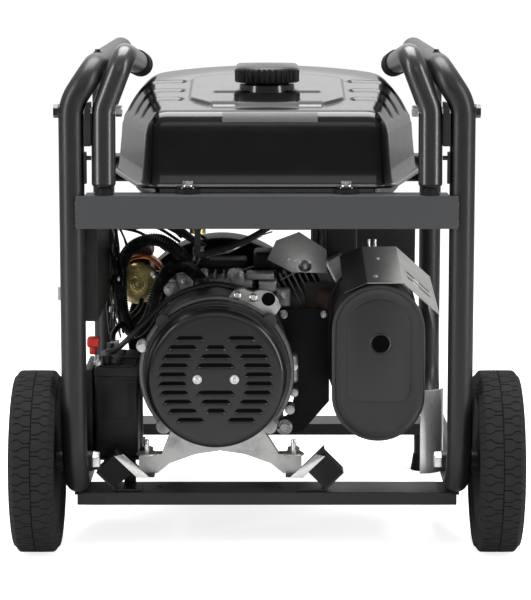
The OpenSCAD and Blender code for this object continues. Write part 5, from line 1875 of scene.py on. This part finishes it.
    def _add_linkage(self) -> None:
        """Adds the governor's spring, rods and clamps."""
        form = Form()
        low, high = Vector((-60, 30, 377)), Vector((-9, 30, 403))
        steps = 10 * self.spring_turns
        at = Matrix.Translation(low) @ facing(high - low)
        coil = [at @ turn("Z", 36 * k) @ Vector((self.spring_radius, 0, (high - low).length * k / steps))
                for k in range(steps + 1)]
        form.tube(coil, self.spring_wire, 6)
        for start, end, radius in (((-92, 26, 372), low, 1.1), (high, (8, 34, 408), 1.1),
                                   ((-42, 30, 350), (30, 30, 372), 1.0)):
            form.rod(start, end, radius, 12)
        form.tube(smooth_path([(-108, 40, 352), (-100, 36, 368), (-104, 34, 382), (-92, 34, 386)]), 1.3, 10)
        form.block((-110, 38, 372), (-94, 44, 384), 1.0)
        form.rod((-98, 34, 378), (-98, 50, 378), 4.4, 24, 0.6)
        form.rod((-88, 34, 372), (-88, 50, 372), 3.4, 24, 0.6)
        form.finish("governor_linkage", Skin.ZINC)


@dataclass
class Harness:
    """Corrugated conduit, battery leads with boots, loose wires and the fuel hose."""

    conduit_radius: float = 9.6
    rings: int = 165
    lead_radius: float = 4.0
    hose_radius: float = 4.5
    side_wires: int = 16
    top_wires: int = 8
    plugs: int = 9
    conduit: tuple[Point, ...] = (
        (-110, 14, 340), (-122, 2, 372), (-155, -12, 400), (-190, -20, 396), (-210, -22, 372),
        (-214, -22, 335), (-210, -22, 292), (-196, -20, 266), (-174, -18, 286), (-160, -20, 330),
        (-142, -26, 358), (-118, -40, 366), (-100, -52, 352), (-94, -56, 343.5))
    main_lead: tuple[Point, ...] = (
        (-40, -190, 344), (-44, -196, 354), (-78, -206, 362), (-130, -214, 346), (-168, -220, 312),
        (-196, -218, 284), (-212, -210, 270), (-222, -196.1, 266))
    earth_lead: tuple[Point, ...] = (
        (-224, -74, 262), (-222, -60, 272), (-212, -30, 280), (-190, 10, 296), (-186, 28, 312),
        (-188, 30.6, 326))
    hose: tuple[Point, ...] = (
        (-96, -200, 422.2), (-96, -200, 404), (-80, -170, 402), (-30, -90, 410), (20, 10, 426),
        (62, 104, 424), (79, 142, 400))

    def build(self) -> None:
        """Makes the harness."""
        form = Form()
        form.tube(smooth_path(self.conduit, 52), self.ringed, 24)
        for lead in (self.main_lead, self.earth_lead):
            form.tube(smooth_path(lead, 8), self.lead_radius, 16)
        for x, y, z in ((-110, 12, 346), (-95, -55, 346)):
            form.rod((x, y, z - 7), (x, y, z + 6), 12.2, 32, 1.2)
        form.finish("conduit_and_leads", Skin.CONDUIT, ["wiring"], smooth=50)
        hose = Form()
        port = Span.of("carburetor")
        inlet = [(port.mid.x, port.low.y + 28, z) for z in (374, 354)]
        hose.tube(smooth_path([*self.hose, *inlet], 10), self.hose_radius, 20)
        hose.finish("fuel_line", Skin.RUBBER, ["fuel_hose"])
        self._add_wires()
        self._add_boots()

    def ringed(self, share: float) -> float:
        """Radius of the corrugated conduit at a share of its length."""
        return self.conduit_radius * (0.95 + 0.07 * math.cos(math.tau * self.rings * share))

    def _add_wires(self) -> None:
        """Adds the thin wires behind the near left upright and over the engine."""
        form = Form()
        for _ in range(self.side_wires):
            start = Vector((-230 + random.uniform(-2, 12), random.uniform(-40, 10), random.uniform(395, 452)))
            end = Vector((random.uniform(-232, -205), random.uniform(-30, 0), random.uniform(255, 300)))
            bow = Vector((random.uniform(-8, 18), random.uniform(-14, 6), random.uniform(-6, 6)))
            route = [start, (start * 2 + end) / 3 + bow, (start + end * 2) / 3 - bow * 0.6, end]
            form.tube(smooth_path(route, 8), random.uniform(0.9, 1.7), 8)
        for _ in range(self.top_wires):
            start = Vector((random.uniform(-230, -200), random.uniform(-10, 30), random.uniform(400, 448)))
            end = Vector((random.uniform(-150, -90), random.uniform(10, 60), random.uniform(376, 400)))
            route = [start, (start + end) / 2 + random.uniform(4, 22) * UP, end]
            form.tube(smooth_path(route, 8), random.uniform(1.2, 2.6), 8)
        form.finish("thin_wires", Skin.CONDUIT)
        plugs = Form()
        for _ in range(self.plugs):
            spot = Vector((random.uniform(-232, -208), random.uniform(-34, -6), random.uniform(262, 446)))
            plugs.block(spot, spot + Vector((5.5, 7, random.uniform(6, 11))), 0.8)
        plugs.finish("wire_plugs", Skin.ZINC)

    def _add_boots(self) -> None:
        """Adds the battery's red boot, the bare terminal and its bolt."""
        near, far = Span.of("battery").low.y, Span.of("battery").high.y
        red = Form()
        red.block((-251, near + 4, 273), (-234, near + 26, 286), 2.4, segments=3)
        red.rod((-243, near + 14, 262), (-243, near + 14, 276), 5.5, 20, 1)
        red.finish("terminal_boot", Skin.RED)
        lug = Form()
        lug.block((-241, near + 5, 247), (-234, near + 13, 262), 0.8)
        lug.hex_bolt((-237, near + 5, 252), NEAR, 7, 4, 5)
        lug.block((-226, far - 24, 247), (-214, far - 12, 262), 0.8)
        lug.finish("terminal_lugs", Skin.ZINC)


@dataclass
class BatteryCase:
    """Battery: moulded case with its recess, lid, vents and tray strap nuts."""

    top: float = 247.0
    cells: int = 6
    cell_pitch: float = 21.0
    ribs: int = 5
    rib_pitch: float = 1.9
    guard_low: Flat = (-256, 112)
    guard_high: Flat = (-244, 240)
    strap_nuts: tuple[Flat, ...] = ((-246, 122), (-240, 112), (-250, 114))
    box: Span = field(init=False)

    def __post_init__(self) -> None:
        """Takes the battery's place from the CAD battery."""
        self.box = Span.of("battery")

    def build(self) -> None:
        """Makes the battery."""
        low, high, top = self.box.low, self.box.high, self.top
        form = Form()
        form.block((low.x + 1, low.y + 1.5, low.z), (high.x - 1, high.y - 1.5, top - 14), 2.2, segments=3)
        form.block((low.x, low.y, top - 15), (high.x, high.y, top - 2), 1.6, segments=3)
        form.block((low.x + 4, low.y + 6, top - 4), (high.x - 4, high.y - 6, top), 1.6, segments=3)
        form.block((low.x + 12, low.y + 0.2, top - 74), (high.x - 3, low.y + 4, top - 20), 0.8)
        for x in (low.x + 46 + self.rib_pitch * k for k in range(self.ribs)):
            form.block((x, low.y - 0.4, top - 70), (x + 0.9, low.y + 4, top - 24), 0.2)
        for y in (low.y + 22 + self.cell_pitch * k for k in range(self.cells)):
            form.rod((self.box.mid.x, y, top), (self.box.mid.x, y, top + 2.4), 7, 28, 0.6)
        for y in (low.y + 18, high.y - 18):
            form.rod((low.x + 16, y, top - 1), (low.x + 16, y, top + 12), 7, 24, 0.6)
        form.finish("moulded_battery", Skin.PLASTIC, ["battery"])
        guard = Form()
        (left, foot), (right, head) = self.guard_low, self.guard_high
        guard.block((left, low.y + 12, foot), (right, high.y - 20, head), 1.5)
        guard.finish("battery_guard", Skin.PLASTIC)
        nuts = Form()
        for x, z in self.strap_nuts:
            nuts.hex_bolt((x, low.y - 4, z), NEAR, 8, 5, 6)
            nuts.rod((x, low.y - 16, z), (x, low.y, z), 2.6, 16, 0.4)
        nuts.finish("tray_nuts", Skin.ZINC)


# ---- Setting ----


@dataclass
class Studio:
    """White floor, soft lamps and the camera."""

    camera_y: float = -3.5748
    camera_z: float = 0.8283
    pitch: float = 8.186
    lens: float = 148.14
    shift_x: float = -0.0025
    ambient: float = 0.27
    floor_glow: float = 0.8
    floor_half: float = 9000.0

    def add_camera(self) -> None:
        """Makes the scene's camera."""
        data = bpy.data.cameras.new("camera")
        data.sensor_width = 36.0
        data.lens = self.lens
        data.shift_x = self.shift_x
        camera = bpy.data.objects.new("camera", data)
        camera.location = (0.0, self.camera_y, self.camera_z)
        camera.rotation_euler = (math.radians(90.0 - self.pitch), 0.0, 0.0)
        bpy.context.scene.collection.objects.link(camera)
        bpy.context.scene.camera = camera

    def add_world(self) -> None:
        """Makes a world that is white to the camera, a graded sky in reflections and a soft light."""
        world = bpy.data.worlds.new("studio")
        bpy.context.scene.world = world
        world.use_nodes = True
        graph = Graph(world.node_tree)
        rays = graph.add("ShaderNodeLightPath")
        way = graph.split(graph.add("ShaderNodeTexCoord").out("Generated"))
        mirrored = rays.out("Is Glossy Ray")
        behind = way.out(1).step(-0.9, 0.1) * 0.45 + 0.55
        sky = (way.out(2).step(-0.2, 0.8) * 0.75 + 0.08) * behind + way.out(1).step(0.55, 0.95) * 0.38
        level = rays.out("Is Camera Ray") + rays.out("Is Transmission Ray") + mirrored * sky
        strength = graph.add("ShaderNodeMath", {"operation": "MAXIMUM"}, {0: level, 1: self.ambient}).out()
        strength = mirrored * sky + (1 - mirrored) * strength
        light = graph.add("ShaderNodeBackground", None, {"Color": (1.0, 1.0, 1.0, 1.0), "Strength": strength})
        graph.add("ShaderNodeOutputWorld", None, {"Surface": light.out()})

    def add_lamp(self, name: str, place: Point, aim: float, size: Flat, power: float) -> None:
        """Adds a soft box.

        Args:
            name: the lamp's name.
            place: where it hangs, in metres.
            aim: height in metres of the point over the floor's middle that it faces.
            size: width and height, in metres.
            power: its power in watts.
        """
        data = bpy.data.lights.new(name, "AREA")
        data.shape = "RECTANGLE"
        data.size, data.size_y = size
        data.energy = power
        lamp = bpy.data.objects.new(name, data)
        lamp.location = place
        lamp.rotation_euler = (Vector((0, 0, aim)) - Vector(place)).to_track_quat("-Z", "Y").to_euler()
        bpy.context.scene.collection.objects.link(lamp)

    def add_floor(self) -> None:
        """Makes a floor that looks white to the camera and keeps the shadow."""
        form = Form()
        half = self.floor_half
        form.plate([(-half, -half), (half, -half), (half, half), (-half, half)], -20.0)
        bmesh.ops.scale(form.bm, vec=(MM, MM, MM), verts=form.bm.verts)
        bmesh.ops.recalc_face_normals(form.bm, faces=form.bm.faces)
        mesh = bpy.data.meshes.new("floor")
        form.bm.to_mesh(mesh)
        form.bm.free()
        floor = bpy.data.objects.new("floor", mesh)
        bpy.context.scene.collection.objects.link(floor)
        surface = bpy.data.materials.new("floor")
        surface.use_nodes = True
        graph = Graph(surface.node_tree)
        rays = graph.add("ShaderNodeLightPath")
        lit = graph.add("ShaderNodeBsdfDiffuse", None, {"Color": (0.82, 0.82, 0.82, 1.0)})
        glow = graph.add("ShaderNodeEmission", None, {"Strength": self.floor_glow})
        both = graph.add("ShaderNodeAddShader", None, {0: lit.out(), 1: glow.out()})
        seen = (rays.out("Is Camera Ray") + rays.out("Is Transmission Ray")).clamped()
        shader = graph.add("ShaderNodeMixShader", None, {0: seen, 1: lit.out(), 2: both.out()})
        graph.add("ShaderNodeOutputMaterial", None, {"Surface": shader.out()})
        mesh.materials.append(surface)

    def build(self) -> None:
        """Makes the whole setting."""
        self.add_camera()
        self.add_world()
        self.add_floor()
        for side, name in SIDES.items():
            self.add_lamp(f"{name}_box", (2.1 * side, -1.4, 1.1), 0.35, (0.4, 2.1), 38.0)
        self.add_lamp("top_box", (0.0, 0.2, 2.5), 0.4, (1.7, 1.7), 85.0)
        self.add_lamp("back_box", (0.0, 2.2, 1.7), 0.4, (2.4, 1.0), 5.0)
        self.add_lamp("front_box", (0.3, -3.4, 1.9), 0.35, (1.6, 1.0), 6.0)


class Dressing:
    """Finishes of the CAD nodes that show as they are."""

    skins: dict[Skin, str] = {
        Skin.FRAME: "crossbars rear_legs handle_brackets latch_left latch_right axle_brackets battery_tray "
                    "mount_brackets",
        Skin.PLATE: "cross_plate rear_plate",
        Skin.PLASTIC: "filler_strainer fuel_lever engine_plugs fan_shroud recoil_reel recoil_grip "
                      "air_cleaner choke_lever control_box",
        Skin.CONDUIT: "fuel_cap",
        Skin.RIM: "rim_left rim_right",
        Skin.RUBBER: "rear_feet rubber_buffers",
        Skin.ZINC: "stub_axles zinc_bolts governor_arm engine_key",
        Skin.PIVOT: "pivot_bolts",
        Skin.CASTING: "crankcase piston valve_cover carburetor",
        Skin.BRACKET: "alternator_bracket",
        Skin.FIN: "engine_cylinder",
        Skin.DARK_STEEL: "crankshaft flywheel starter_motor",
        Skin.LAMINATION: "stator",
        Skin.COPPER: "rotor",
        Skin.BRASS: "fuel_valve",
        Skin.RUST: "exhaust_pipe",
        Skin.SOCKET: "socket_outlets",
        Skin.RED: "breaker_switch",
    }
    bevels: dict[float, str] = {
        3.0: "valve_cover control_box",
        2.5: "crankcase air_cleaner",
        1.5: "recoil_grip",
        1.4: "alternator_bracket",
        1.2: "cross_plate rear_plate crossbars starter_motor fan_shroud",
        1.0: "carburetor rear_feet rubber_buffers breaker_switch rotor",
        0.8: "handle_brackets battery_tray stub_axles fuel_valve fuel_lever rim_left rim_right axle_brackets "
             "engine_plugs socket_outlets crankshaft",
        0.7: "mount_brackets",
        0.6: "piston pivot_bolts flywheel stator",
        0.5: "engine_cylinder engine_key latch_left latch_right choke_lever",
        0.4: "zinc_bolts governor_arm",
    }
    bevel_angle: float = 32.0

    def dress(self, nodes: dict[str, bpy.types.Object], shown: Iterable[str]) -> None:
        """Gives each shown CAD node its finish, welded faces and softened edges.

        Args:
            nodes: the CAD nodes by name.
            shown: names of the nodes that no piece replaces.
        """
        skins = {name: skin for skin, names in self.skins.items() for name in names.split()}
        bevels = {name: width for width, names in self.bevels.items() for name in names.split()}
        for name in shown:
            node = nodes[name]
            node.data.materials.clear()
            node.data.materials.append(skins[name].material())
            node.data.shade_smooth()
            weld = node.modifiers.new("weld", "WELD")
            weld.merge_threshold = 1e-5
            if name in bevels:
                bevel = node.modifiers.new("bevel", "BEVEL")
                bevel.width = bevels[name] * MM
                bevel.segments = 2
                bevel.limit_method = "ANGLE"
                bevel.angle_limit = math.radians(self.bevel_angle)
                bevel.harden_normals = False
            node.modifiers.new("shading", "WEIGHTED_NORMAL").keep_sharp = True
            LOG.info("dressed %s as %s", name, skins[name].value.name)


def main() -> None:
    """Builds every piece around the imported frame."""
    logging.basicConfig(level=logging.INFO, format="%(name)s: %(message)s")
    random.seed(7)
    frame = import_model()
    bpy.context.scene.view_settings.view_transform = "Standard"
    Studio().build()
    parts = [TubeFrame(), Handle(-1), Handle(1), Tank(), Wheel(-1), Wheel(1), AlternatorCover(), Muffler(),
             HeatShield(), EndCasting(), Starter(), HeadPlates(), Harness(), BatteryCase()]
    for part in parts:
        part.build()
    Dressing().dress(frame["nodes"], [n for n in frame["nodes"] if n not in Form.replaced])


if __name__ == "__main__":
    main()
